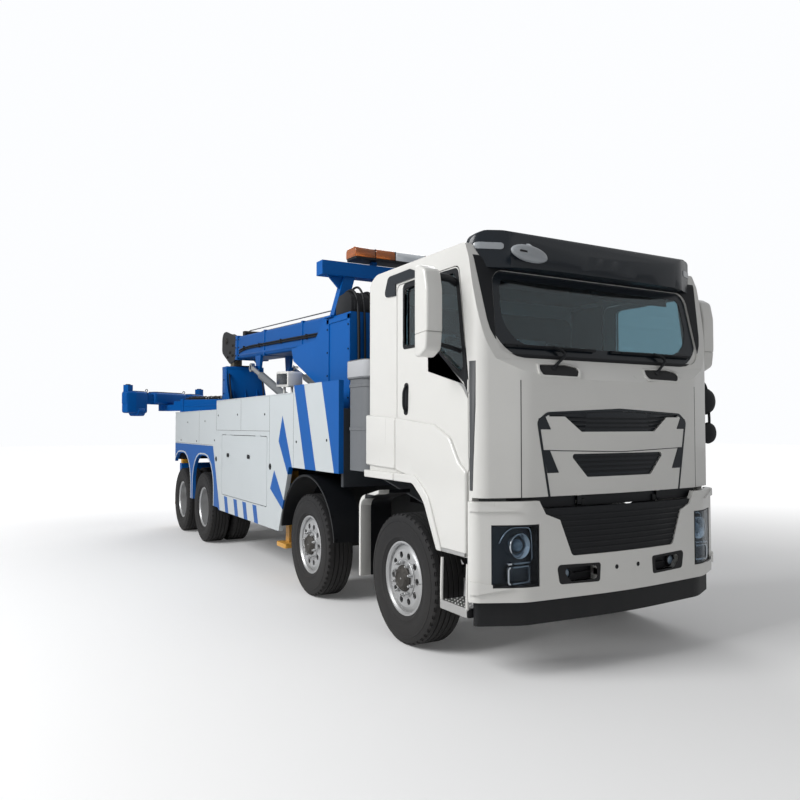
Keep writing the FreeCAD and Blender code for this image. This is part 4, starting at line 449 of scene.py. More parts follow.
def slab(tree, u, v, low, high, slope=0.0, foot=-100.0, head=100.0):
    group = add(tree, "ShaderNodeGroup", node_tree=SLAB)
    return feed(tree, group, {"U": u, "V": v, "Low": low, "High": high, "Slope": slope, "Foot": foot,
                              "Head": head}).outputs[0]


BLUE = (0.001, 0.088, 0.34)
PANEL_WHITE = (0.50, 0.535, 0.55)
FAR = 100.0  # beyond either end of the truck


def body_stripes(tree, base):
    """The recovery body's blue: the slanted bars behind the cab, the tandem's surround and the low blocks."""
    x, _, z = truck_place(tree)

    def overlap(*masks):
        shared = masks[0]
        for mask in masks[1:]:
            shared = math_node(tree, "MULTIPLY", shared, mask)
        return shared

    # bars that lean forward as they fall, as x + lean * z between two values
    masks = [slab(tree, x, z, -1.53 + 0.34 * 2.2, 3.0, -0.34, 1.2),
             slab(tree, x, z, -2.29 + 0.37 * 2.18, -1.96 + 0.35 * 2.18, -0.36, 1.2)]
    # the two leaves under the slanted bars, between leaning edges
    right = slab(tree, x, z, -FAR, -2.62 + 0.525 * 1.88, -0.525)
    left = slab(tree, x, z, -2.755 + 0.8 * 1.6, FAR, -0.8, 1.2, 1.9)
    masks.append(overlap(right, left, slab(tree, x, z, -2.62 - 0.43 * 1.88, FAR, 0.43)))
    right = slab(tree, x, z, -FAR, -2.87 + 0.95 * 1.24, -0.95)
    left = slab(tree, x, z, -3.0 + 2.0 * 1.02, FAR, -2.0, 0.8, 1.25)
    upper = slab(tree, x, z, -3.0 - 0.6 * 1.06, FAR, 0.6)
    masks.append(overlap(right, left, upper, slab(tree, x, z, -FAR, -2.57)))
    # the tandem's surround, its front edge leaning, and the low blocks
    masks.append(slab(tree, x, z, -FAR, -5.47 + 0.41 * 1.465, -0.41, 0.0, 1.465))
    for start in (-4.90, -4.46, -4.07, -3.66):
        masks.append(slab(tree, x, z, start + 0.35 * 0.78, start + 0.15 + 0.35 * 0.78, -0.35, 0.0, 0.785))
    colour = base
    for mask in masks:
        colour = mix_colour(tree, mask, colour, (*BLUE, 1))
    return colour


# What each look is: its material's name, the slot it usually fills, colour, roughness and settings
LOOKS = {
    "cab": ("cab_white_paint", "cab_white", (0.66, 0.655, 0.63), 0.28,
            dict(coat=0.6, variation=0.03, dusting=0.12, dust_top=1.0)),
    "panel": ("body_panel_paint", "body_white", PANEL_WHITE, 0.42,
              dict(variation=0.05, dusting=0.10, specular=0.2, paint=body_stripes)),
    "panel_plain": ("body_trim_paint", "body_white", PANEL_WHITE, 0.36, dict(coat=0.25, variation=0.05,
                                                                             dusting=0.12)),
    "blue": ("recovery_blue_paint", "recovery_blue", BLUE, 0.42, dict(variation=0.12, dusting=0.03, specular=0.12)),
    "black": ("satin_black_paint", "trim_black", (0.006, 0.007, 0.009), 0.45,
              dict(variation=0.2, dusting=0.03, specular=0.25)),
    "chassis": ("chassis_black_paint", "chassis_black", (0.009, 0.010, 0.011), 0.6,
                dict(variation=0.2, dusting=0.10, specular=0.25)),
    "gloss": ("gloss_black_panel", "gloss_black", (0.005, 0.009, 0.014), 0.25,
              dict(coat=0.15, variation=0.1, dusting=0.0, specular=0.35)),
    "plastic": ("moulded_black_plastic", "trim_black", (0.006, 0.007, 0.009), 0.55,
                dict(variation=0.1, dusting=0.03, grain=900, bump=0.15, specular=0.25)),
    "grey_plastic": ("moulded_grey_plastic", "trim_black", (0.055, 0.058, 0.062), 0.55,
                     dict(variation=0.1, dusting=0.1, grain=900, bump=0.15)),
    "rubber": ("tyre_rubber", "tyre_rubber", (0.012, 0.012, 0.013), 0.7,
               dict(variation=0.25, dusting=0.04, grain=500, bump=0.3, specular=0.3)),
    "rim": ("rim_silver_paint", "rim_silver", (0.50, 0.51, 0.52), 0.33, dict(metallic=0.75, variation=0.1,
                                                                             dusting=0.25)),
    "steel": ("bright_steel", "rod_chrome", (0.55, 0.55, 0.54), 0.3, dict(metallic=1.0, variation=0.15, dusting=0.1)),
    "iron": ("dull_iron", "hook_iron", (0.030, 0.028, 0.026), 0.6,
             dict(metallic=0.4, variation=0.3, dusting=0.12, grain=120, bump=0.4)),
    "engine": ("engine_grey_paint", "engine_iron", (0.10, 0.11, 0.11), 0.5, dict(variation=0.2, dusting=0.4)),
    "amber": ("amber_lens", "amber_lens", (0.50, 0.13, 0.02), 0.2,
              dict(variation=0.1, dusting=0.02, coat=0.3, Transmission_Weight=0.35)),
    "red": ("red_lens", "lamp_clear", (0.55, 0.01, 0.01), 0.15,
            dict(variation=0.1, dusting=0.05, coat=0.5, Transmission_Weight=0.2)),
    "lens": ("clear_lens", "lamp_clear", (0.55, 0.62, 0.68), 0.02,
             dict(variation=0.0, dusting=0.0, Transmission_Weight=1.0, specular=0.15, IOR=1.2)),
    "glass": ("tinted_glass", "glass_tint", (0.28, 0.42, 0.47), 0.02,
              dict(variation=0.0, dusting=0.0, Transmission_Weight=1.0, specular=0.15)),
    "chrome": ("lamp_reflector", "rod_chrome", (0.50, 0.54, 0.58), 0.18, dict(metallic=1.0, variation=0.05,
                                                                              dusting=0.0)),
    "stack": ("intake_grey_plastic", "stack_grey", (0.13, 0.138, 0.148), 0.5,
              dict(variation=0.12, dusting=0.08, grain=700, bump=0.2)),
    "pale": ("pale_grey_plastic", "guard_black", (0.42, 0.43, 0.45), 0.4, dict(dusting=0.1)),
    "fabric": ("seat_fabric", "seat_fabric", (0.030, 0.032, 0.036), 0.9,
               dict(variation=0.2, dusting=0.0, grain=1500, bump=0.5, Sheen_Weight=0.3)),
    "dash": ("dashboard_plastic", "dash_plastic", (0.018, 0.019, 0.021), 0.7,
             dict(variation=0.1, dusting=0.0, grain=1200, bump=0.3, specular=0.25)),
    "yellow": ("outrigger_yellow_paint", "leg_yellow", (0.62, 0.30, 0.02), 0.4, dict(variation=0.15, dusting=0.25)),
    "deck": ("deck_dark_paint", "deck_dark", (0.020, 0.024, 0.030), 0.55,
             dict(variation=0.3, dusting=0.2, grain=200, bump=0.2)),
    "barrel": ("cylinder_grey_paint", "cylinder_grey", (0.16, 0.17, 0.18), 0.4, dict(variation=0.15)),
    "shadow": ("joint_shadow", "trim_black", (0.004, 0.004, 0.005), 0.8, dict(variation=0.0, dusting=0.0)),
    "lining": ("cab_lining_plastic", "dash_plastic", (0.014, 0.016, 0.019), 0.85,
               dict(variation=0.1, dusting=0.0, grain=900, bump=0.2, specular=0.2)),
    "lens_pale": ("pale_lens", "lamp_clear", (0.70, 0.74, 0.78), 0.12, dict(variation=0.05, dusting=0.0, coat=0.6)),
    "mirror": ("mirror_glass", "mirror_white", (0.75, 0.78, 0.80), 0.03, dict(metallic=1.0, variation=0.0,
                                                                              dusting=0.0)),
    "khaki": ("hook_case_paint", "hook_iron", (0.115, 0.100, 0.070), 0.5, dict(variation=0.2, dusting=0.1)),
    "lamp_dark": ("lamp_bucket_plastic", "gloss_black", (0.010, 0.014, 0.022), 0.3,
                  dict(coat=0.2, variation=0.1, dusting=0.0)),
    "lamp_glow": ("projector_glass", "lamp_clear", (0.16, 0.22, 0.28), 0.08, dict(coat=0.8, variation=0.05,
                                                                                  dusting=0.0)),
    "marker": ("marker_lens", "lamp_clear", (0.30, 0.32, 0.34), 0.2, dict(coat=0.3, variation=0.05, dusting=0.02)),
    "rope": ("wire_rope_steel", "hook_iron", (0.20, 0.19, 0.18), 0.5, dict(metallic=0.9, variation=0.3, dusting=0.2)),
}
MATERIALS = {look: material(name, colour, roughness, **settings)
             for look, (name, _, colour, roughness, settings) in LOOKS.items()}


# Camera first: the photograph's own viewing angle
def make_camera():
    camera = bpy.data.objects.new("camera", bpy.data.cameras.new("camera"))
    bpy.context.scene.collection.objects.link(camera)
    camera.location = Vector((5.212, -4.180, 1.766)) + HOME
    yaw, pitch = math.radians(29.64), math.radians(1.99)
    ahead = Vector((-math.cos(yaw) * math.cos(pitch), math.sin(yaw) * math.cos(pitch), math.sin(pitch)))
    camera.rotation_euler = ahead.to_track_quat("-Z", "Y").to_euler()
    camera.data.lens = 33.0
    camera.data.sensor_width = 36.0
    camera.data.clip_end = 200
    bpy.context.scene.camera = camera


make_camera()

# CAD nodes that keep their own mesh and take a look. Each row gives the look, a slot other than its usual one or
# None, and the nodes.
# A name that ends in _ stands for both sides.
PLAIN = (
    ("chassis", None, "axles springs frame knuckle_1_ knuckle_2_"), ("engine", None, "engine"),
    ("cab", None, "bumper cab_shell door_"), ("cab", "mirror_white", "mirror_"), ("plastic", None, "front_valance"),
    ("lens", None, "lamps"), ("black", "guard_black", "steps_and_guards"), ("stack", None, "intake_stack"),
    ("panel", None, "body_sides locker_lid_"), ("deck", None, "deck"), ("amber", None, "light_bar"),
    ("blue", None,
     "mast tail_frame boom boom_inner underlift_carriage underlift_arm underlift_stinger underlift_crossbar"),
    ("glass", None, "windscreen door_glass_"), ("gloss", None, "cab_trim"), ("fabric", None, "seats"),
    ("dash", None, "dashboard"), ("black", "trim_metal_black", "boom_head"), ("iron", None, "hook_block winch_drums"),
    ("barrel", None, "lift_barrels"), ("steel", None, "lift_rods"), ("yellow", None, "front_legs rear_legs"),
    ("rubber", None, "tyre_1_ tyre_2_ tyres_3_ tyres_4_"), ("rim", None, "rim_1_ rim_2_ rims_3_ rims_4_"),
)
for look, slot_name, names in PLAIN:
    for name in names.split():
        for node in [name + side for side, _ in SIDES] if name.endswith("_") else [name]:
            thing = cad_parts[node]
            thing.data.materials.clear()
            thing.data.materials.append(MATERIALS[look])
            pick(thing)
            bpy.ops.object.shade_smooth_by_angle(angle=math.radians(30))


# Pieces cut from the skin of a CAD node
SKINS = {}
CAB_FRONT = ("x", 1.0, 1.3)  # how deep a cutter for the cab's front reaches
SCREEN = ("x", 0.9, 1.25)  # the same for the windscreen


def skin(node, name, cutter, shift, width=0.0015):
    """The part of a node's surface inside the cutter, as a piece of its own moved by shift."""
    if node not in SKINS:
        SKINS[node] = dressed(node, f"{node}_skin")
    piece = carve(copied(SKINS[node], name), cutter, "INTERSECT")
    piece.data.transform(Matrix.Translation(shift))
    return soften(piece, width, 1)


def skins(node, name, reach, outlines, shift, width=0.0015):
    """Several outlines of one node's skin, as one piece."""
    return joined(name, *[skin(node, f"{name}_{i}", plate(f"{name}_cutter", *reach, outline), shift, width)
                          for i, outline in enumerate(outlines)])


def both_ways(outline):
    return [outline, reflected(outline)]


# Cab front: the grille's black outline and wedges, its seam, slats and the seams beside it
def make_grille():
    outer = [(-0.672, 1.2), (-0.778, 1.80, 0.05), (-0.69, 1.862, 0.08)]
    inner = [(-0.652, 1.19), (-0.756, 1.796, 0.04), (-0.68, 1.840, 0.06)]
    ring = band("grille_ring", *CAB_FRONT, outer + [(0, 1.893)] + reflected(outer)[::-1],
                inner + [(0, 1.868)] + reflected(inner)[::-1])
    ring = skin("cab_shell", "grille_outline_ring", ring, (0.002, 0, 0))
    wedges = [[(-0.765, 1.815), (-0.705, 1.832), (-0.655, 1.738), (-0.748, 1.738)],
              [(-0.722, 1.592), (-0.668, 1.592), (-0.588, 1.428), (-0.690, 1.428)]]
    seam = [(-0.72, 1.592), (0, 1.572), (0.72, 1.592), (0.72, 1.586), (0, 1.566), (-0.72, 1.586)]
    lines = skins("cab_shell", "grille_wedges", CAB_FRONT, wedges + [reflected(w) for w in wedges] + [seam],
                  (0.0025, 0, 0))
    finish(joined("grille_outline", ring, lines), "cab", "gloss")
    slats = [oblong(-0.72, z, 0.72, z + 0.012) for z in (1.745, 1.778, 1.811, 1.42, 1.455, 1.49, 1.525)]
    finish(skins("cab_trim", "grille_slats", CAB_FRONT, slats, (0.014, 0, 0)), "cab", "plastic")
    seams = [oblong(y - 0.003, 1.262, y + 0.003, 2.085) for y in (-0.905, 0.905)]
    finish(skins("cab_shell", "front_seams", CAB_FRONT, seams, (0.0008, 0, 0), 0), "cab", "shadow")
    lugs = block("cut", (1.0, -0.95, 0.80), (1.35, 0.95, 1.2605))
    finish(skin("cab_shell", "lug_faces", lugs, (0.002, 0, -0.0005), 0), "cab", "black")
    apron = [oblong(-0.90, 1.263, 0.90, 1.345)]
    finish(skins("cab_shell", "front_apron", CAB_FRONT, apron, (-0.016, 0, -0.078), 0.002), "cab", "black")


def trapeze(foot, v0, head, v1, low_radius, high_radius):
    return [(-foot, v0, low_radius), (foot, v0, low_radius), (head, v1, high_radius), (-head, v1, high_radius)]


def make_cowl():
    """The windscreen's black border, the wiper pockets with their lips, and the two wipers."""
    border = band("border_ring", *SCREEN, trapeze(1.06, 2.275, 1.02, 2.89, 0.11, 0.11),
                  trapeze(0.985, 2.345, 0.95, 2.83, 0.24, 0.07))
    finish(skin("windscreen", "windscreen_border", border, (0.003, 0, 0.0006), 0), "cab", "gloss", slot="trim_black")
    gasket = band("gasket_ring", *SCREEN, trapeze(1.080, 2.248, 1.165, 2.985, 0.30, 0),
                  trapeze(1.046, 2.283, 1.006, 2.882, 0.10, 0.10))
    gasket = skin("cab_shell", "windscreen_gasket", gasket, (0, 0, 0.001), 0.001)
    finish(shrunk(gasket, (0.6, 0, 2.6), (1.006, 1.0015, 1)), "cab", "plastic")
    corner = [(-1.09, 2.24), (-0.78, 2.24)] + arc(-0.78, 2.548, 0.300, range(270, 179, -10)) + [(-1.09, 2.548)]
    finish(skins("windscreen", "screen_corners", SCREEN, both_ways(corner), (0.006, 0, 0.0012), 0), "cab", "cab")
    ovals = [[(y - 0.21, 2.120, 0.03), (y + 0.14, 2.114, 0.03), (y + 0.21, 2.18, 0.025), (y + 0.08, 2.204, 0.03),
              (y - 0.17, 2.198, 0.03)] for y in (-0.55, 0.52)]
    finish(skins("cab_shell", "wiper_pockets", CAB_FRONT, ovals, (0.003, 0, 0.002)), "cab", "shadow")
    lips = []
    for middle, oval in zip((-0.57, 0.50), ovals):
        grown = [(u + (0.014 if u > middle else -0.014), v + (0.012 if v > 2.155 else -0.014), r) for u, v, r in oval]
        lips.append(band("lip", *CAB_FRONT, grown, oval))
    lips = [skin("cab_shell", "pocket_lip", lip, (0.009, 0, 0.007), 0.002) for lip in lips]
    finish(joined("pocket_lips", *lips), "cab", "cab")
    parts = []
    z = 2.335
    for y, pivot, reach in ((-0.98, -0.60, 0.86), (0.05, 0.47, 0.90)):
        grip = (1.112, y + reach / 2, z + 0.004)
        parts += [
            plate("blade", "y", y, y + reach, [(1.078, z - 0.008), (1.098, z - 0.012), (1.100, z + 0.006),
                                               (1.080, z + 0.012)]),
            pipe("blade_back", [(1.104, y + 0.1, z), grip, (1.104, y + reach - 0.1, z)], 0.008),
            pipe("wiper_arm", [(1.150, pivot, 2.165), (1.158, pivot + 0.02, 2.20), (1.118, pivot + 0.20, 2.31), grip],
                 0.011),
            rod("wiper_boss", (1.125, pivot, 2.150), (1.168, pivot, 2.180), 0.022, 20, 0.016)]
    fit("wipers", parts, (0,), "cab", "plastic")


def make_visor():
    """The roof visor and the grille's inserts from the CAD trim, the visor's lamps and the close-up mirror."""
    edge, top = 1.1605, 3.1705
    face = plate("front", "x", 0.868, 1.4, [(-1.3, 2.70), (1.3, 2.70), (1.3, 2.9), (edge, 2.93), (edge, top, 0.11),
                                            (-edge, top, 0.11), (-edge, 2.93), (-1.3, 2.9)])
    hood = skin("cab_trim", "visor", face, (0, 0, 0), 0.010)
    inserts = skin("cab_trim", "inserts", block("low", (1.0, -0.9, 1.30), (1.4, 0.9, 1.95)), (0, 0, 0), 0.002)
    finish(joined("visor_and_grille", hood, inserts), "cab", "gloss", "cab_trim")
    lens = [(-1.14, 3.035, 0.02), (-0.95, 3.030, 0.02), (-0.95, 3.078, 0.02), (-1.14, 3.083, 0.02)]
    finish(skins("cab_trim", "visor_lamps", ("x", 0.7, 1.3), both_ways(lens), (0.004, 0, 0)), "cab", "marker")
    # the close-up mirror under the visor's right end
    deselect()
    bpy.ops.mesh.primitive_uv_sphere_add(segments=40, ring_count=20, radius=1, location=(1.170, -0.82, 2.985))
    bpy.context.object.scale = (0.040, 0.165, 0.060)
    bpy.context.object.rotation_euler = (math.radians(-6), 0, 0)
    bowl = modify(named("close_mirror"), "BEVEL", width=0.001, segments=1)
    stay = pipe("close_mirror_stay", [(1.17, -0.80, 3.03), (1.15, -0.80, 3.055), (1.12, -0.80, 3.06)], 0.012)
    slit = plate("slit", "x", 1.190, 1.208, [(-0.93, 2.985, 0.004), (-0.80, 2.978, 0.004), (-0.80, 2.992, 0.004),
                                             (-0.93, 2.999, 0.004)])
    # the bowl and its stay are mid grey: a painted highlight on a black housing
    fit("close_mirror_bowl_painted_highlight", [bowl, stay], (0,), "cab", "marker", slot="trim_black")
    fit("slit", [slit], (0.001, 1), "cab", "shadow")


def make_corner_strips():
    """The dark strips behind the cab's front corners and the black blades at the rear of the roof."""
    strip = [(0.972, 1.31), (1.004, 1.31), (1.030, 1.9), (1.032, 2.22), (0.972, 2.22)]
    blade = [(-0.28, 2.855, 0.04), (-0.078, 2.845), (-0.078, 2.942), (0.24, 2.944, 0.01), (0.30, 2.975, 0.01),
             (0.16, 3.025, 0.03), (-0.20, 3.02, 0.05)]
    parts, fins = [], []
    for s in (1, -1):
        parts.append(skin("cab_shell", "strip", plate("cut", "y", s * 1.1, s * 1.3, strip), (0, s * 0.003, 0)))
        fins.append(skin("cab_shell", "fin", plate("cut", "y", s * 1.14, s * 1.3, blade), (0, s * 0.012, 0), 0.004))
    finish(joined("corner_strips", *parts), "cab", "grey_plastic")
    finish(joined("roof_blades", *fins), "cab", "gloss")


make_grille()
make_cowl()
make_visor()
make_corner_strips()


# Door dressings
SASH_OUT = [(0.035, 2.925, 0.05), (0.035, 2.385, 0.03), (0.43, 2.385, 0.12), (0.905, 2.075, 0.03), (0.952, 1.99),
            (0.952, 2.12), (0.835, 2.912, 0.05)]
SASH_IN = [(0.062, 2.878, 0.045), (0.062, 2.412, 0.02), (0.452, 2.412, 0.12), (0.905, 2.115, 0.045),
           (0.798, 2.878, 0.045)]
BULGE = [(-0.066, 1.40), (0.25, 1.345), (0.45, 1.12), (0.55, 0.90), (0.62, 0.842), (0.95, 0.842), (0.95, 1.44, 0.04),
         (0.86, 1.50, 0.10), (0.74, 1.68, 0.10), (0.52, 1.775, 0.2), (-0.066, 1.83)]
BULGE_REAR = [(-0.594, 1.42), (-0.074, 1.405), (-0.074, 1.832), (-0.594, 1.86)]
LIP = [(-0.066, 1.312), (0.235, 1.312, 0.10), (0.40, 1.19, 0.3), (0.585, 0.842), (0.655, 0.842), (0.47, 1.235, 0.3),
       (0.27, 1.378, 0.12), (-0.066, 1.378)]
LIP_REAR = oblong(-0.596, 1.314, -0.074, 1.378)


def side_form(s, bulge, lip, steps, lip_width):
    """The bulge low on the cab's side and the lip round the wheel, which stand out from its flat face."""
    return [soften(flank("form", s, 1.190, 1.229, bulge, steps), 0.022, 5, 50),
            soften(flank("lip", s, 1.190, 1.243, lip, steps), lip_width, 3, 50)]


def make_door(side, s):
    body = f"door_{side}"
    sash = band("sash", "y", *sorted((s * 1.1, s * 1.3)), SASH_OUT, SASH_IN)
    finish(skin(body, f"window_sash_{side}", sash, (0, s * 0.003, 0)), body, "plastic")
    finish(joined(f"door_form_{side}", *side_form(s, BULGE, LIP, 10, 0.010)), body, "cab")
    well = [(0.045, 1.85, 0.03), (0.115, 1.85, 0.03), (0.125, 2.11, 0.03), (0.055, 2.11, 0.03)]
    bar = [(0.085, s * 1.206, 1.875), (0.088, s * 1.232, 1.90), (0.092, s * 1.236, 1.98), (0.092, s * 1.232, 2.06),
           (0.090, s * 1.206, 2.085)]
    fit(f"door_handle_{side}", [flank("handle_well", s, 1.2035, 1.2075, well), pipe("handle_bar", bar, 0.011)],
        (0.001, 1),
        body, "plastic")
    marker = flank("side_marker", s, 1.218, 1.226, oblong(0.845, 1.085, 0.935, 1.125, 0.006))
    fit(f"side_marker_{side}", [marker], (0.002,), body, "pale", slot="lamp_clear")
    belt = flank("belt_strip", s, 1.2035, 1.212, [(0.955, 1.962), (0.955, 2.000), (0.905, 2.062), (0.430, 2.374, 0.1),
                                                  (0.430, 2.350, 0.1), (0.890, 2.040)])
    fit(f"belt_strip_{side}", [belt], (0.0015, 1), body, "steel")
    sill = flank("door_sill", s, 1.196, 1.236, [(0.645, 0.846), (0.948, 0.846), (0.948, 0.872), (0.628, 0.872)])
    fit(f"door_sill_{side}", [sill], (0.003,), body, "steel")
    # the door's inner card with its armrest
    inner = 1.205 - 0.062
    card = flank("card", s, inner, inner - 0.018, [(-0.05, 1.37), (0.90, 1.37), (0.90, 2.05), (0.42, 2.36),
                                                   (-0.05, 2.36)])
    armrest = flank("armrest", s, inner, inner - 0.075, [(0.02, 1.93, 0.02), (0.55, 1.93, 0.02), (0.60, 1.99, 0.02),
                                                         (0.02, 1.97, 0.02)])
    fit(f"door_card_{side}", [card, armrest], (0.006,), body, "lining")


for side, s in SIDES:
    make_door(side, s)
rear_forms = side_form(1, BULGE_REAR, LIP_REAR, 8, 0.009) + side_form(-1, BULGE_REAR, LIP_REAR, 8, 0.009)
finish(joined("cab_side_forms", *rear_forms), "cab", "cab")


def make_cab_lining():
    """Dark trim on the cab's inner walls, roof and rear, with two sun blinds."""
    parts = [plate("rear_lining", "x", -0.536, -0.520, trapeze(1.13, 1.36, 1.13, 2.86, 0, 0.1)),
             plate("roof_lining", "z", 2.985, 3.000, oblong(-0.50, -1.12, 0.84, 1.12))]
    for s in (1, -1):
        parts.append(flank("side_lining", s, 1.128, 1.142, oblong(-0.52, 1.36, -0.08, 2.95)))
        parts.append(flank("blind", s, 0.12, 1.0, [(0.80, 2.80), (0.815, 2.80), (0.805, 2.965), (0.79, 2.965)]))
    fit("cab_lining", parts, (0.003, 1), "cab", "lining")


make_cab_lining()


# Wheels: tyres with ribs and shoulder notches, and the hubs with their nuts
AXLE_X = {1: 0.0, 2: -1.95, 3: -6.05, 4: -7.40}
AXLE_HEIGHT = 0.525
NUT_CIRCLE = 0.1335
TYRE_HALF = [
    (0.2865, 0.0985), (0.3005, 0.1045), (0.3005, 0.1200), (0.312, 0.1290), (0.327, 0.1345), (0.331, 0.1390),
    (0.338, 0.1393), (0.343, 0.1375), (0.375, 0.1440), (0.405, 0.1472), (0.432, 0.1468), (0.455, 0.1440),
    (0.458, 0.1462), (0.466, 0.1462), (0.469, 0.1420), (0.490, 0.1370), (0.506, 0.1305), (0.5185, 0.1225),
    (0.5235, 0.1130), (0.5240, 0.0790), (0.5230, 0.0775), (0.5115, 0.0755), (0.5115, 0.0685), (0.5235, 0.0665),
    (0.5245, 0.0300), (0.5235, 0.0285), (0.5125, 0.0265), (0.5125, 0.0195), (0.5240, 0.0175)]
TYRE = TYRE_HALF + [(radius, -along) for radius, along in reversed(TYRE_HALF)]
# each kind of hub: its disc's face, how far nuts, studs and cap bolts stand out from it,
# the bolts' circle and radius, and the cap's profile
HUBS = {
    "front": (1.066 + 0.095 + 0.007, (0.010, 0.036), (0.030, 0.050), (0.036, 0.048), 0.081, 0.006,
              [(0.0, 0.040), (0.030, 0.044), (0.052, 0.042), (0.060, 0.050), (0.070, 0.052), (0.074, 0.046),
               (0.088, 0.040), (0.094, 0.028), (0.1045, 0.022), (0.1065, -0.004), (0.0, -0.004)]),
    "rear": (1.097 - 0.1605 + 0.007, (0, 0.026), (0.02, 0.042), (0.105, 0.117), 0.078, 0.007,
             [(0.0, 0.108), (0.045, 0.108), (0.060, 0.100), (0.066, 0.110), (0.088, 0.110), (0.094, 0.103),
              (0.094, 0.094), (0.0, 0.094)]),
}


def make_tyre_pattern():
    """One tyre about the origin, every other shoulder face pressed in."""
    tyre = turned("tyre_pattern", TYRE, (0, 0, 0), 96)

    def notch(spot, normal):
        radius = math.hypot(spot.x, spot.z)
        step = int(math.degrees(math.atan2(spot.z, spot.x)) // 3.75)
        return radius > 0.508 and 0.115 < abs(spot.y) < 0.129 and step % 2

    select_faces(tyre, notch)
    bpy.ops.mesh.inset(thickness=0.002, depth=-0.007, use_individual=True)
    bpy.ops.object.mode_set(mode="OBJECT")
    pick(tyre)
    bpy.ops.object.shade_smooth_by_angle(angle=math.radians(34))
    return tyre


def ring_of(piece, count, centre):
    """Copies of a piece turned about a wheel's axis, as one piece."""
    parts = [piece] + [copied(piece, f"copy_{k}", turn_about(centre, "Y", 360 * k / count)) for k in range(1, count)]
    return joined("ring", *parts)


def make_hub(kind, body, name, x, s):
    """The nuts on a wheel's disc, and the hub's stepped cap with its bolts."""
    face, nut_reach, stud_reach, bolt_reach, bolt_circle, bolt_radius, profile = HUBS[kind]
    disc = s * face
    centre = (x, disc, AXLE_HEIGHT)

    def stem(reach, circle, *shape):
        near, far = [(x, disc + s * step, AXLE_HEIGHT + circle) for step in reach]
        return rod("stem", near, far, *shape)

    parts = []
    if kind == "front":
        parts.append(turned("flange", [(0.108, 0), (0.154, 0), (0.154, s * 0.007), (0.150, s * 0.010),
                                       (0.108, s * 0.010)],
                            centre, 64))
    nut = joined("nut", stem(nut_reach, NUT_CIRCLE, 0.0165, 6, 0.0145), stem(stud_reach, NUT_CIRCLE, 0.009, 12))
    parts.append(ring_of(nut, 10, (x, 0, AXLE_HEIGHT)))
    nuts = soften(joined(f"{name}_nuts", *parts), 0.0015, 1)
    cap = turned("cap", profile, centre, 48)
    shrunk(cap, centre, (1, s, 1))
    if s < 0:
        cap.data.flip_normals()
    bolts = ring_of(stem(bolt_reach, bolt_circle, bolt_radius, 6), 8, (x, 0, AXLE_HEIGHT))
    cap = soften(joined(f"{name}_cap", cap, bolts), 0.001, 1)
    finish(nuts, body, "rim")
    finish(cap, body, "iron")


def make_wheels():
    pattern = make_tyre_pattern()
    for side, s in SIDES:
        for axle in (1, 2):
            x, body = AXLE_X[axle], f"wheel_{axle}_{side}"
            tyre = copied(pattern, f"tyre_tread_{axle}_{side}", Matrix.Translation((x, s * 1.066, AXLE_HEIGHT)))
            finish(tyre, body, "rubber", f"tyre_{axle}_{side}")
            make_hub("front", body, f"hub_{axle}_{side}", x, s)
            stem = [(x + 0.268, s * 1.175, AXLE_HEIGHT), (x + 0.262, s * 1.19, AXLE_HEIGHT),
                    (x + 0.258, s * 1.205, 0.527)]
            finish(pipe(f"valve_{axle}_{side}", stem, 0.004), body, "steel")
        for axle in (3, 4):
            x, body = AXLE_X[axle], f"wheel_{axle}_{side}"
            pair = [copied(pattern, "tread", Matrix.Translation((x, s * y, AXLE_HEIGHT))) for y in (1.097, 0.762)]
            finish(joined(f"tyre_treads_{axle}_{side}", *pair), body, "rubber", f"tyres_{axle}_{side}")
            make_hub("rear", body, f"hub_{axle}_{side}", x, s)
    bpy.data.objects.remove(pattern)


make_wheels()


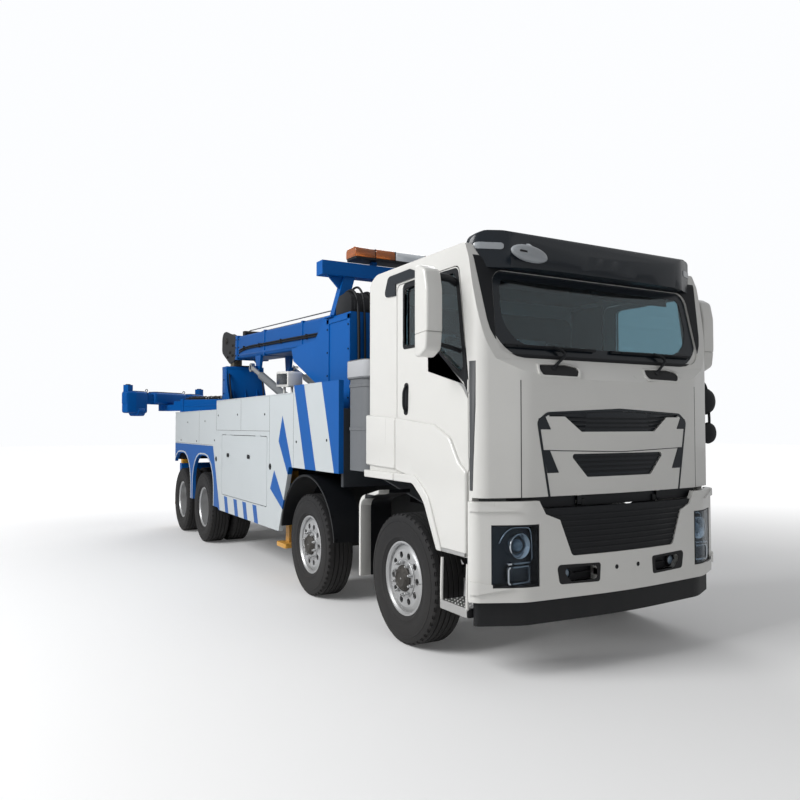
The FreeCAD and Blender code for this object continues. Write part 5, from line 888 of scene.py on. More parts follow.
# Head and tail lamps
def make_headlamps():
    """A black bucket, a round projector over a square reflector, a bright bezel and a clear cover, on each side."""
    cutters = [plate("lamp_cutter", "x", 0.9, 1.3, outline) for outline in both_ways(oblong(0.79, 0.64, 1.14, 1.09))]
    blocks = [skin("lamps", "lamp_block", cutter, (0, 0, 0), 0) for cutter in cutters]
    covers, buckets, bright, glass = [], [], [], []
    for cover, s in zip(blocks, (1, -1)):
        inside = copied(cover, "inside", Matrix.Translation((-0.007, -s * 0.007, 0)))
        shrunk(inside, (1.1, s * 0.965, 0.865), (1, 1, 0.965))
        covers.append(carve(cover, inside))
        keep = block("keep", (0.9, min(0, s * 2), 0.5), (1.3, max(0, s * 2), 1.2))
        bucket = carve(copied(SKINS["lamps"], "bucket"), keep, "INTERSECT")
        buckets.append(shrunk(bucket, (1.004, s * 0.802, 0.865), (0.66, 0.93, 0.94)))
        lamp = (1.150, s * 0.925, 0.930)
        bright.append(turned("bowl", [(0.082, 0.030), (0.088, 0.030), (0.090, 0.022), (0.088, -0.04), (0.040, -0.04),
                                      (0.052, -0.012), (0.066, 0.012)], lamp, 48, "x"))
        glass.append(turned("dome", [(0.0, 0.026), (0.018, 0.023), (0.032, 0.014), (0.042, 0.0), (0.045, -0.02),
                                     (0.0, -0.02)], lamp, 32, "x"))
        low, high = sorted((s * 0.835, s * 1.03))
        wall = 0.012
        bright.append(band("bezel", "x", 1.150, 1.176, oblong(low, 0.668, high, 0.792, 0.02),
                           oblong(low + wall, 0.680, high - wall, 0.780, 0.012)))
        buckets.append(plate("lower_block", "x", 1.150, 1.168, oblong(low + wall, 0.690, high - wall, 0.780)))
        bright.append(plate("divider", "x", 1.145, 1.180, oblong(low, 0.806, high, 0.818)))
        bright.append(pipe("guide", [(1.168, s * 0.815, 0.83), (1.168, s * 0.815, 1.04), (1.160, s * 0.86, 1.055),
                                     (1.130, s * 1.02, 1.055), (1.110, s * 1.055, 0.95)], 0.006))
    fit("headlamp_buckets", buckets, (0.004,), "chassis", "lamp_dark", "lamps")
    fit("headlamp_reflectors", bright, (0.0015, 1), "chassis", "chrome")
    fit("headlamp_projectors", glass, (0,), "chassis", "lamp_glow")
    fit("headlamp_covers", covers, (0.0015, 1), "chassis", "lens")
    rim_out = both_ways([(0.798, 0.648, 0.02), (1.135, 0.648), (1.135, 1.082), (0.798, 1.082, 0.02)])
    rim_in = both_ways([(0.810, 0.660, 0.012), (1.14, 0.660), (1.14, 1.070), (0.810, 1.070, 0.012)])
    edges = [skin("lamps", "lamp_edge", band("edge", "x", 0.9, 1.3, outer, inner), (0.002, s * 0.001, 0))
             for s, outer, inner in zip((1, -1), rim_out, rim_in)]
    finish(joined("headlamp_edges", *edges), "chassis", "plastic")


def make_tail_lamps():
    """Black trays with red, amber and clear lenses side by side."""
    trays, lenses = [], {"red": [], "amber": [], "clear": []}
    for s in (1, -1):
        low, high = sorted((s * 0.90, s * 1.15))
        trays.append(plate("tray", "x", -7.925, -7.880, oblong(low, 1.25, high, 1.40, 0.02)))
        for store, near, far in (("red", 0.910, 1.005), ("amber", 1.012, 1.075), ("clear", 1.082, 1.140)):
            low, high = sorted((s * near, s * far))
            lenses[store].append(plate("lens", "x", -7.930, -7.915, oblong(low, 1.264, high, 1.386, 0.012)))
    fit("tail_lamp_trays", trays, (0.003,), "chassis", "plastic", "lamps")
    for name, look in (("red", "red"), ("amber", "amber"), ("clear", "lens_pale")):
        fit(f"tail_lenses_{name}", lenses[name], (0.003,), "chassis", look)


make_headlamps()
make_tail_lamps()


# Bumper: the lower grille's bars, the fog lamps and the tow caps
def make_bumper_front():
    bars = [oblong(-0.74, z, 0.74, z + 0.013) for z in (0.875, 0.915, 0.955, 0.995, 1.035, 1.075, 1.115)]
    finish(skins("front_valance", "lower_grille_bars", CAB_FRONT, bars, (0.008, 0, 0)), "chassis", "black")
    caps = [arc(y, 0.73, 0.017, range(0, 360, 18)) for y in (-0.11, 0.11)]
    finish(skins("bumper", "tow_caps", ("x", 1.2, 1.3), caps, (0.0004, 0, 0), 0), "chassis", "shadow")
    backs, lenses, rings = [], [], []
    for s in (1, -1):
        low, high = sorted((s * 0.285, s * 0.635))
        backs.append(plate("fog_back", "x", 1.188, 1.196, oblong(low, 0.645, high, 0.775)))
        low, high = sorted((s * 0.32, s * 0.46))
        backs.append(plate("fog_vane", "x", 1.196, 1.225, oblong(low, 0.705, high, 0.712)))
        lamp = (1.197, s * 0.54, 0.71)
        rings.append(turned("fog_ring", [(0.034, 0), (0.042, 0), (0.044, 0.02), (0.036, 0.024)], lamp, 32, "x"))
        lenses.append(turned("fog_lens", [(0, 0.020), (0.02, 0.018), (0.034, 0.010), (0.034, 0.0), (0, 0.0)], lamp,
                             32, "x"))
    fit("fog_housings", backs + rings, (0.002, 1), "chassis", "plastic")
    fit("fog_lenses", lenses, (0,), "chassis", "lamp_glow")
    # the bumper's faces in and round each fog slot, near-black: painted shade that widens the slot's dark opening
    slots = [(0.275, 0.640, 0.02), (0.632, 0.648, 0.03), (0.655, 0.785, 0.03), (0.265, 0.775, 0.02)]
    edges = [skin("bumper", "fog_edge", plate("edge", "x", 1.1, 1.3, outline), (0.0015, 0, 0), 0)
             for outline in both_ways(slots)]
    finish(joined("fog_slot_painted_shade", *edges), "chassis", "shadow")


make_bumper_front()


# Steps, the white strip behind the front wheel and the second axle's fender
def make_steps():
    treads, posts, backs = [], [], []
    for s in (1, -1):
        low, high = sorted((s * 0.99, s * 1.238))
        treads.append(plate("tread", "z", 0.4855, 0.493, oblong(0.652, low, 0.978, high, 0.015)))
        for i in range(8):
            for j in range(5):
                spot = Vector((0.675 + 0.040 * i, s * (1.015 + 0.048 * j), 0.493))
                treads.append(rod("stud", spot, spot + Vector((0, 0, 0.006)), 0.010, 8, 0.006))
        treads.append(flank("tread_lip", s, 1.232, 1.244, oblong(0.645, 0.432, 0.985, 0.497, 0.012)))
        for x in (0.650, 0.975):
            posts.append(pipe("post", [(x, s * 1.232, 0.47), (x, s * 1.236, 0.60), (x, s * 1.226, 0.80)], 0.012))
        backs.append(flank("back_panel", s, 0.990, 1.000, [(0.642, 0.487), (0.988, 0.487), (0.988, 0.812, 0.02),
                                                           (0.642, 0.812, 0.02)]))
        for k in range(4):
            backs.append(flank("back_rib", s, 1.000, 1.006, oblong(0.67, 0.54 + 0.06 * k, 0.96, 0.556 + 0.06 * k)))
    fit("step_treads", treads, (0.001, 1), "chassis", "steel")
    fit("step_posts", posts, (0,), "chassis", "cab")
    fit("step_backs", backs, (0.002, 1), "chassis", "pale")


def make_guard_faces():
    """Faces seen from the side: the pale strip behind the front wheel, and the fender's black rim."""
    strip = [(-0.72, 0.42), (-0.72, 1.23), (-0.32, 1.23), (-0.32, 1.165), (-0.585, 1.165), (-0.605, 1.02),
             (-0.605, 0.42)]
    hoop = (arc(AXLE_X[2], AXLE_HEIGHT, 0.735, range(9, 172, 6)) + arc(AXLE_X[2], AXLE_HEIGHT, 0.716,
                                                                       range(171, 8, -6)))
    faces, rims = [], []
    for s in (1, -1):
        faces.append(skin("steps_and_guards", "strip_face", flank("cut", s, 1.13, 1.26, strip), (0.003, s * 0.004, 0),
                          0.002))
        rims.append(skin("steps_and_guards", "fender_rim", flank("cut", s, 1.19, 1.26, hoop), (0, s * 0.003, 0),
                         0.003))
    finish(joined("guard_strips", *faces), "chassis", "cab")
    finish(joined("fender_rims", *rims), "chassis", "plastic", slot="guard_black")


make_steps()
make_guard_faces()


# Mirrors: glass in the rear face, a dark arm cover, and the kerb mirrors
def make_mirrors():
    for side, s in SIDES:
        body = f"door_{side}"
        low, high = sorted((s * 1.380, s * 1.518))
        housing = plate("housing", "y", low, high, [
            (0.734, 2.252, 0.03), (0.80, 2.252, 0.04), (0.885, 2.295, 0.05), (0.905, 2.45, 0.3), (0.905, 2.72, 0.3),
            (0.875, 2.862, 0.06), (0.80, 2.905, 0.05), (0.734, 2.905, 0.02)], 8)
        soften(housing, 0.040, 6, 40)
        waist = plate("waist", "y", low - 0.01, high + 0.01, [(0.70, 2.405), (0.93, 2.420), (0.93, 2.428),
                                                              (0.70, 2.413)])
        carve(housing, waist)
        fill = plate("fill", "y", low + 0.006, high - 0.006, [(0.742, 2.30), (0.885, 2.34), (0.893, 2.55),
                                                              (0.742, 2.55)])
        fit(f"mirror_housing_{side}", [housing, fill], (0,), body, "cab", f"mirror_{side}", slot="mirror_white")
        low, high = sorted((s * 1.398, s * 1.500))
        panes = [plate("pane", "x", 0.728, 0.735, oblong(low, foot, high, head, 0.02))
                 for foot, head in ((2.44, 2.88), (2.275, 2.395))]
        fit(f"mirror_panes_{side}", panes, (0.002,), body, "mirror")
        arms = [pipe("arm", [(0.800, s * 1.203, 2.80), (0.82, s * 1.26, 2.825), (0.83, s * 1.33, 2.83),
                             (0.835, s * 1.40, 2.82)], 0.028, 16),
                pipe("lower_arm", [(0.855, s * 1.20, 2.30), (0.86, s * 1.26, 2.32), (0.86, s * 1.39, 2.34)], 0.016,
                     16)]
        fit(f"mirror_arms_{side}", arms, (0,), body, "plastic")
    # the round kerb mirrors hung under the left housing
    kerb = [turned("kerb_bowl", [(0.0, 0.045), (0.06, 0.040), (0.10, 0.022), (0.118, -0.005), (0.112, -0.014),
                                 (0.0, -0.014)], (0.90, 1.40, 1.98), 40, "x"),
            pipe("kerb_stay", [(0.90, 1.20, 2.10), (0.90, 1.32, 2.16), (0.905, 1.40, 2.12), (0.91, 1.40, 2.02)],
                 0.014),
            turned("low_bowl", [(0.0, 0.040), (0.05, 0.035), (0.085, 0.018), (0.095, -0.004), (0.0, -0.010)],
                   (0.92, 1.40, 1.70), 40, "x"),
            pipe("low_stay", [(0.91, 1.40, 1.96), (0.925, 1.42, 1.85), (0.925, 1.40, 1.74)], 0.012)]
    fit("kerb_mirrors", kerb, (0,), "door_left", "plastic")


make_mirrors()


# Recovery body: seams, latches, fillers, and the pale lips of the arches
SEAM_WIDTH = 0.004


def line(u0, v0, u1, v1):
    run = Vector((u1 - u0, v1 - v0)).normalized() * SEAM_WIDTH / 2
    du, dv = -run.y, run.x
    return [(u0 - du, v0 - dv), (u1 - du, v1 - dv), (u1 + du, v1 + dv), (u0 + du, v0 + dv)]


SEAMS = [(-2.285, 1.32, -2.285, 2.11), (-6.27, 1.50, -6.27, 1.985), (-5.30, 1.70, -5.30, 1.985),
         (-7.875, 1.478, -5.50, 1.478), (-4.15, 1.69, -4.15, 2.115), (-3.05, 1.30, -3.05, 2.115),
         (-5.30, 1.70, -3.05, 1.70)]
LATCHES = [(-7.0, 1.82), (-5.93, 1.83), (-5.21, 1.91), (-4.3, 1.91), (-3.22, 1.9), (-2.2, 1.59), (-1.4, 1.62),
           (-7.46, 1.52), (-6.42, 1.52), (-5.4, 1.55)]


def make_body_sides():
    """Dark seams, latches, lid locks and fillers, and the pale lips and rails, on both sides."""
    lines = [line(*seam) for seam in SEAMS]
    parts = [skins("body_sides", "seams", ("y", *sorted((s * 1.19, s * 1.26))), lines, (0, s * 0.0006, 0), 0)
             for s in (1, -1)]
    finish(joined("body_seams", *parts), "chassis", "shadow", slot="body_white")
    dots = []
    for x, z in LATCHES:
        dots.append(rod("latch", (x, -1.243, z), (x, -1.248, z), 0.017, 16, 0.013))
        dots.append(rod("latch_core", (x, -1.247, z), (x, -1.251, z), 0.007, 12, 0.005))
    fit("body_latches", [both(joined("latches", *dots))], (0,), "chassis", "plastic")
    disc = [(0.0, 0.004), (0.012, 0.004), (0.026, 0.0), (0.028, -0.004), (0.0, -0.004)]
    for side, s in SIDES:
        fittings = []
        for x, z in ((-4.71, 1.36), (-3.82, 1.37)):
            fittings += [turned("lock", disc, (x + dx, s * 1.249, z), 24) for dx in (-0.024, 0.024)]
            if s < 0:
                fittings[-1].data.flip_normals()
        fit(f"locker_latches_{side}", fittings, (0,), f"locker_lid_{side}", "plastic")
    fillers, lips = [], []
    for s in (1, -1):
        for x in (-5.30, -3.02):
            fillers.append(rod("filler", (x, s * 1.240, 1.285), (x, s * 1.250, 1.285), 0.040, 32, 0.036))
            fillers.append(rod("filler_cap", (x, s * 1.248, 1.285), (x, s * 1.256, 1.285), 0.026, 24, 0.022))
        for x in (AXLE_X[3], AXLE_X[4]):
            outer = [(x - 0.632, 0.600), (x + 0.632, 0.600), (x + 0.632, 1.345, 0.50), (x - 0.632, 1.345, 0.50)]
            inner = [(x - 0.612, 0.580), (x + 0.612, 0.580), (x + 0.612, 1.325, 0.485), (x - 0.612, 1.325, 0.485)]
            arch = band("arch", "y", *sorted((s * 1.22, s * 1.26)), outer, inner)
            lips.append(skin("body_sides", "arch_lip", arch, (0, s * 0.004, 0), 0.002))
    fit("fillers", fillers, (0.001, 1), "chassis", "plastic")
    finish(joined("arch_lips", *lips), "chassis", "panel_plain")
    # the top rail along the panels
    rails = [block("rail", (-5.29, -1.250, 2.112), (-2.30, -1.190, 2.126)),
             block("rail", (-7.875, -1.250, 1.982), (-5.31, -1.190, 1.996))]
    fit("panel_rails", [both(joined("rails", *rails))], (0.003,), "chassis", "panel_plain")


make_body_sides()


# Air intake: pale cap and straps
def make_intake():
    cap = skin("intake_stack", "cap", block("cut", (-1.2, -1.3, 2.205), (-0.5, -0.3, 2.40)), (0, 0, 0.001), 0.012)
    finish(shrunk(cap, (-0.865, -0.79, 2.28), (1.006, 1.006, 1.0)), "chassis", "pale", slot="stack_grey")
    slats = []
    for z in (1.32, 1.72, 2.12):
        slat = skin("intake_stack", "slat", block("cut", (-1.2, -1.3, z), (-0.5, -0.3, z + 0.030)), (0, 0, 0), 0.002)
        slats.append(shrunk(slat, (-0.865, -0.79, z), (1.022, 1.016, 1)))
    finish(joined("intake_ribs", *slats), "chassis", "stack")


make_intake()


# Light bar: amber ends, clear middle, dark base
def make_light_bar():
    amber, clear = [], []
    for low, high in ((-0.70, -0.452), (-0.446, -0.20), (-0.194, 0.194), (0.20, 0.446), (0.452, 0.70)):
        cell = skin("light_bar", "cell", block("cut", (-2.2, low, 3.604), (-1.8, high, 3.8)), (0, 0, 0), 0.010)
        (clear if low == -0.194 else amber).append(cell)
    finish(joined("light_bar_amber", *amber), "chassis", "amber", "light_bar")
    finish(joined("light_bar_clear", *clear), "chassis", "lens_pale")
    base = [plate("base", "z", 3.581, 3.606, oblong(-2.118, -0.698, -1.882, 0.698, 0.03))]
    base += [block("divider", (-2.112, y - 0.004, 3.60), (-1.888, y + 0.004, 3.708))
             for y in (-0.449, -0.197, 0.197, 0.449)]
    fit("light_bar_base", base, (0.002, 1), "chassis", "plastic")


make_light_bar()


def make_work_lamps():
    """White work lamps with dark windows on stalks above the body's sides."""
    parts, windows = [], []
    for s in (1, -1):
        parts.append(flank("lamp_case", s, 0.98, 1.16, [(-3.07, 2.225, 0.02), (-2.68, 2.205, 0.02),
                                                        (-2.68, 2.385, 0.03),
                                                        (-3.07, 2.405, 0.03)]))
        parts += [rod("stalk", (x, s * 1.08, 1.95), (x, s * 1.08, 2.24), 0.016, 16) for x in (-3.0, -2.76)]
        windows.append(flank("window", s, 1.156, 1.164, [(-3.04, 2.25, 0.015), (-2.71, 2.235, 0.015),
                                                         (-2.71, 2.362, 0.015), (-3.04, 2.378, 0.015)]))
    fit("work_lamps", parts, (0.008,), "chassis", "cab")
    fit("work_lamp_windows", windows, (0.002,), "chassis", "gloss")


make_work_lamps()


# Boom: its own slope carries what lies along it
BOOM_PIVOT = Vector((-2.85, 0, 2.62))
ON_BOOM = Matrix.Translation(BOOM_PIVOT) @ Matrix.Rotation(math.radians(2), 4, "Y")
BOOM_TOP = 0.16 + 0.40


def boom_collar(x0, x1, half_width, z0, z1, reach):
    """A frame round the boom, whose opening clears it and reaches past both faces."""
    collar = block("collar", (x0, -half_width, z0), (x1, half_width, z1))
    return carve(collar, block("hole", (x0 - reach[0], -0.2755, 0.1625), (x1 + reach[1], 0.2755, BOOM_TOP - 0.003)))


def make_boom_dress():
    """Collars, rails, rollers, hoses and the two wire ropes over the boom, and the pins' caps."""
    collars = [boom_collar(-4.722, -4.60, 0.292, 0.146, BOOM_TOP + 0.014, (0.078, 0.1))]
    collars += [boom_collar(x - 0.03, x + 0.03, 0.289, 0.152, BOOM_TOP + 0.009, (0.07, 0.07)) for x in (-3.2, -1.6)]
    collars += [flank("side_rail", s, 0.278, 0.290, oblong(-4.58, 0.205, -0.25, 0.235)) for s in (1, -1)]
    fit("boom_collars", collars, (0.004,), "boom", "blue", place=ON_BOOM)
    axis = BOOM_TOP + 0.055
    dark = []
    for x in (0.16, -4.45):
        dark += [block("cheek", (x - 0.06, s * 0.215 - 0.01, BOOM_TOP - 0.004), (x + 0.06, s * 0.215 + 0.01,
                                                                                 BOOM_TOP + 0.085))
                 for s in (1, -1)]
        dark.append(rod("roller", (x, -0.205, axis), (x, 0.205, axis), 0.036, 24))
        dark.append(rod("roller_pin", (x, -0.235, axis), (x, 0.235, axis), 0.014, 16))
    dark += [rod("pad_bolt", (x, s * 0.290, z), (x, s * 0.300, z), 0.014, 6)
             for x in (-4.52, -4.67) for s in (1, -1) for z in (0.22, 0.36, 0.50)]
    fit("boom_rollers", dark, (0.002, 1), "boom", "iron", place=ON_BOOM)
    height = axis + 0.036 + 0.009
    ropes = [rod("rope", (0.16, y, height), (-4.45, y, height), 0.009, 12) for y in (-0.11, 0.11)]
    ropes += [rod("rope_end", (-4.45, y, height), (-5.00, y, BOOM_TOP - 0.02), 0.0088, 12) for y in (-0.11, 0.11)]
    fit("boom_ropes", ropes, (0,), "boom", "rope", place=ON_BOOM)
    hoses = []
    for s in (1, -1):
        for start, rise, run, end in ((0.30, 0.34, 0.345, 0.30), (0.27, 0.31, 0.317, 0.26)):
            hoses.append(pipe("hose", [
                (0.05, s * 0.286, start), (-0.4, s * 0.300, rise), (-1.5, s * 0.298, run), (-3.0, s * 0.298, run),
                (-4.3, s * 0.298, run), (-4.5, s * 0.284, end)], 0.0125))
        low, high = sorted((s * 0.276, s * 0.313))
        hoses += [plate("clip", "x", x - 0.012, x + 0.012, [(low, 0.295), (high, 0.300), (high, 0.362), (low, 0.367)])
                  for x in (-0.6, -1.4, -2.4, -3.4, -4.2)]
    fit("boom_hoses", hoses, (0,), "boom", "plastic", place=ON_BOOM)
    ropes = [rod("rope", (-4.9, y, BOOM_TOP - 0.02), (-5.37, y, 0.66), 0.0086, 12) for y in (-0.11, 0.11)]
    fit("inner_ropes", ropes, (0,), "boom_inner", "rope", place=ON_BOOM)
    caps = []
    for x, z, radius in ((-5.34, 0.52, 0.060), (-5.12, 0.30, 0.030), (-4.95, 0.42, 0.024), (-4.95, 0.24, 0.024),
                         (-5.25, 0.22, 0.024)):
        for s in (1, -1):
            caps.append(rod("cap", (x, s * 0.268, z), (x, s * 0.285, z), radius, 24, radius * 0.9))
            caps.append(rod("cap_core", (x, s * 0.283, z), (x, s * 0.292, z), radius * 0.5, 16))
    fit("head_caps", caps, (0.002, 1), "boom_inner", "iron", place=ON_BOOM)
    # the pivot's caps on the mast's lugs
    pins = []
    for s in (1, -1):
        spot = BOOM_PIVOT + Vector((0, s * 0.363, 0))
        pins.append(rod("pivot_cap", spot, spot + Vector((0, s * 0.016, 0)), 0.062, 32, 0.056))
        for turn in (30, 150, 270):
            bolt = spot + Vector((0.038 * math.cos(math.radians(turn)), s * 0.014,
                                  0.038 * math.sin(math.radians(turn))))
            pins.append(rod("cap_bolt", bolt, bolt + Vector((0, s * 0.010, 0)), 0.008, 6))
    fit("pivot_caps", pins, (0.001, 1), "chassis", "iron")


make_boom_dress()


def make_winch_dress():
    """Rope turns on the drums."""
    turns = [turned("turn", arc(0.096, 0, 0.0095, range(0, 360, 45)), (-2.42, s * (0.0945 + 0.0194 * k), 2.16), 36)
             for s in (1, -1) for k in range(9)]
    fit("drum_ropes", turns, (0,), "winch_drums", "rope")


make_winch_dress()


def make_mast_dress():
    """Bolted plates, gussets, hoses and the crossbar's end caps."""
    blue, dark = [], []
    for s in (1, -1):
        blue += [
            flank("bar_cap", s, 1.060, 1.0695, oblong(-2.075, 3.385, -1.925, 3.525, 0.01)),
            plate("gusset", "x", -2.012, -1.988, [(s * 0.80, 3.385), (s * 0.98, 3.385), (s * 0.80, 3.20)]),
            plate("post_fin", "y", s * 0.875 - 0.012, s * 0.875 + 0.012, [
                (-2.06, 2.93), (-2.34, 2.60), (-2.10, 2.60), (-2.06, 2.70)]),
            plate("foot_plate", "z", 2.925, 2.945, oblong(-2.09, s * 0.78, -1.91, s * 0.975))]
        blue += [flank("tower_edge", s, 0.938, 0.950, oblong(x0, z0, x1, 2.91))
                 for x0, z0, x1 in ((-2.08, 1.95, -2.02), (-1.56, 1.95, -1.502), (-2.08, 2.86, -1.502))]
        dark += [rod("bolt", (x, s * 0.949, z), (x, s * 0.958, z), 0.010, 6)
                 for z in (2.05, 2.30, 2.55, 2.80) for x in (-2.05, -1.53)]
        dark += [rod("foot_bolt", (x, s * 0.80, 2.944), (x, s * 0.80, 2.956), 0.010, 6) for x in (-2.05, -1.95)]
    fit("mast_plates", blue, (0.002, 1), "chassis", "blue")
    for points, radius in (
        ([(-1.62, 0.50, 1.96), (-1.45, 0.52, 2.2), (-1.44, 0.5, 2.7), (-1.52, 0.45, 2.98), (-1.8, 0.40, 3.02),
          (-2.05, 0.36, 2.97)], 0.018),
        ([(-1.62, 0.44, 1.96), (-1.46, 0.46, 2.2), (-1.45, 0.44, 2.7), (-1.52, 0.39, 2.97), (-1.8, 0.34, 3.01),
          (-2.05, 0.31, 2.96)], 0.018),
        ([(-1.62, -0.55, 1.96), (-1.45, -0.58, 2.3), (-1.42, -0.62, 2.9), (-1.62, -0.70, 3.12), (-1.9, -0.78, 3.05),
          (-2.0, -0.84, 2.96)], 0.016),
        ([(-2.06, -0.84, 2.96), (-2.063, -0.82, 3.1), (-2.063, -0.775, 3.37)], 0.009),
    ):
        dark.append(pipe("hose", points, radius))
    fit("mast_hoses", dark, (0,), "chassis", "plastic")


make_mast_dress()


# Rear tower under the stowed boom, which carries the underlift's slide
def make_rear_tower():
    """Two closed uprights with a plated front, a head with the boom's rest, bolts and the slide's hoses."""
    parts = []
    for s in (1, -1):
        low, high = sorted((s * 0.200, s * 0.340))
        parts.append(block("upright", (-8.150, low, 2.376), (-7.895, high, 2.800)))
        parts.append(flank("side_plate", s, 0.340, 0.352, [
            (-8.140, 1.935), (-7.895, 1.935), (-7.60, 1.935), (-7.60, 2.02), (-7.86, 2.55), (-7.88, 2.80),
            (-8.140, 2.80)]))
    parts.append(block("head", (-8.150, -0.352, 2.790), (-7.880, 0.352, 2.842)))
    parts.append(block("front_plate", (-7.900, -0.345, 1.935), (-7.884, 0.345, 2.80)))
    parts += [plate("stiffener", "y", y - 0.008, y + 0.008, [(-7.886, 1.935), (-7.70, 1.935), (-7.886, 2.45)])
              for y in (-0.22, 0.0, 0.22)]
    fit("rear_tower", parts, (0.006,), "chassis", "blue")
    dark = [plate("boom_rest", "y", -0.16, 0.16, [(-8.12, 2.842), (-7.91, 2.842), (-7.93, 2.868), (-8.10, 2.868)])]
    for s in (1, -1):
        dark += [rod("bolt", (-8.02, s * 0.351, z), (-8.02, s * 0.364, z), 0.014, 6) for z in (2.10, 2.35, 2.60)]
        dark.append(pipe("slide_hose", [(-7.76, s * 0.29, 1.95), (-7.72, s * 0.30, 2.2), (-7.80, s * 0.31, 2.55),
                                        (-7.87, s * 0.30, 2.70)], 0.015))
    fit("rear_tower_fittings", dark, (0.002, 1), "chassis", "plastic")


make_rear_tower()


def make_gear_behind_cab():
    """The dark filter box with its hoses between the cab and the mast."""
    parts = [plate("case", "y", -0.93, -0.43, [
        (-1.880, 2.932), (-1.502, 2.932), (-1.502, 3.08, 0.06), (-1.60, 3.15, 0.05), (-1.80, 3.13, 0.05),
        (-1.880, 3.04, 0.03)])]
    parts += [plate("rib", "x", -1.503, -1.494, oblong(-0.90 + 0.115 * k, 2.95, -0.83 + 0.115 * k, 3.06))
              for k in range(4)]
    fit("filter_box", parts, (0.008,), "chassis", "black", slot="chassis_black")
    hoses = [pipe("hose", [(-1.80, y, 3.08), (-1.74, y, 3.10 + lift), (-1.56, y + 0.03, 3.13 + lift),
                           (-1.470, y + 0.05, 2.96), (-1.475, y + 0.04, 1.96)], radius)
             for y, lift, radius in ((-0.90, 0.05, 0.016), (-0.83, 0.09, 0.012), (-0.72, 0.04, 0.016),
                                     (-0.60, 0.10, 0.012), (-0.50, 0.06, 0.016))]
    fit("cab_hoses", hoses, (0,), "chassis", "plastic")


make_gear_behind_cab()

# Underlift: its own swing carries what is measured along the arm
ON_SWING = Matrix.Translation((-8.45, 0, 2.15)) @ Matrix.Rotation(math.radians(35), 4, "Z")


def make_underlift_dress():
    """Swing cap and arm bands, the crossbar's sleeve, end shells, pads and keepers, and a chain on the arm."""
    band_piece = block("band", (-1.245, -0.132, -0.132), (-1.17, 0.132, 0.132))
    arm_parts = [carve(band_piece, block("hole", (-1.3, -0.1175, -0.1175), (-1.1, 0.1175, 0.1175)))]
    arm_parts += [flank("stay", s, 0.119, 0.127, oblong(-1.15, -0.02, -0.30, 0.02)) for s in (1, -1)]
    fit("arm_bands", arm_parts, (0.003,), "underlift_arm", "blue", place=ON_SWING)
    pins = [rod("pin_cap", (-8.45, 0, 2.328), (-8.45, 0, 2.342), 0.060, 32, 0.054),
            rod("pin_core", (-8.45, 0, 2.338), (-8.45, 0, 2.350), 0.022, 6)]
    fit("swing_caps", pins, (0.002, 1), "underlift_carriage", "iron")
    shells = [soften(plate("sleeve", "z", 0.038, 0.262, oblong(-1.892, -0.44, -1.588, 0.44, 0.05)), 0.045, 4)]
    for s in (1, -1):
        shells.append(soften(plate("end_shell", "z", -0.150, 0.262, [
            (-1.862, s * 0.60, 0.04), (-1.862, s * 0.90, 0.10), (-1.811, s * 1.086, 0.06), (-1.669, s * 1.086, 0.06),
            (-1.618, s * 0.90, 0.10), (-1.618, s * 0.60, 0.04)]), 0.050, 5))
        shells.append(soften(flank("claw", s, 0.66, 0.86, [
            (-1.860, -0.04), (-1.620, -0.04), (-1.600, -0.13, 0.05), (-1.64, -0.205, 0.05), (-1.84, -0.205, 0.05),
            (-1.880, -0.13, 0.05)]), 0.030, 4))
    fit("crossbar_shells", shells, None, "underlift_crossbar", "blue", place=ON_SWING)
    dark = [plate("top_pad", "z", 0.258, 0.276, oblong(-1.85, -0.38, -1.63, 0.38, 0.05))]
    for s in (1, -1):
        dark += [
            plate("end_pad", "z", 0.258, 0.272, oblong(-1.83, s * 0.64, -1.65, s * 0.915, 0.03)),
            rod("socket_cap", (-1.74, s * 0.99, 0.380), (-1.74, s * 0.99, 0.394), 0.050, 24, 0.044),
            rod("keeper", (-1.74, s * 0.52, 0.05), (-1.74, s * 0.52, 0.255), 0.030, 24),
            pipe("keeper_ring", [(x, s * 0.52, z) for x, z in ((-1.74, 0.255), (-1.70, 0.29), (-1.74, 0.325),
                                                               (-1.78, 0.29), (-1.74, 0.255))], 0.008)]
    fit("crossbar_pads", dark, (0.003, 1), "underlift_crossbar", "black", slot="hook_iron", place=ON_SWING)
    # a stowed chain in a tray along the arm's top
    link = turned("link", arc(0.030, 0, 0.010, range(0, 360, 45)), (0, 0, 0), 20, "z")
    link.data.transform(Matrix.Diagonal((1.5, 1.0, 1.0, 1)))
    chain = [plate("tray", "z", 0.119, 0.127, oblong(-1.155, -0.10, -0.20, 0.10, 0.02))]
    for row, y in enumerate((-0.045, 0.045)):
        for k in range(15):
            spot = Matrix.Translation((-1.12 + 0.062 * k, y + 0.012 * math.sin(k * 0.9 + row), 0.148))
            tilt = Matrix.Rotation(math.radians(90 if k % 2 else 0), 4, "X")
            chain.append(copied(link, "link", spot @ tilt @ Matrix.Rotation(math.radians(8 * math.sin(k * 1.7)), 4,
                                                                            "Z")))
    bpy.data.objects.remove(link)
    fit("arm_chain", chain, (0,), "underlift_arm", "iron", place=ON_SWING)


make_underlift_dress()


# Hook block: a brown rounded case with bolts round the CAD block, whose hook is left as it is
def make_hook_dress():
    case = soften(plate("case", "y", -0.083, 0.083, [
        (-8.549, 3.03), (-8.549, 2.62, 0.06), (-8.47, 2.545, 0.03), (-8.41, 2.545, 0.03), (-8.333, 2.62, 0.06),
        (-8.333, 3.03),
        (-8.40, 3.085, 0.05), (-8.48, 3.085, 0.05)]), 0.012, 3)
    bolts = [rod("bolt", (-8.44, s * 0.082, z), (-8.44, s * 0.094, z), 0.024, 6) for s in (1, -1)
             for z in (2.70, 2.93)]
    fit("hook_case", [case, *bolts], (0,), "boom_inner", "khaki")


make_hook_dress()


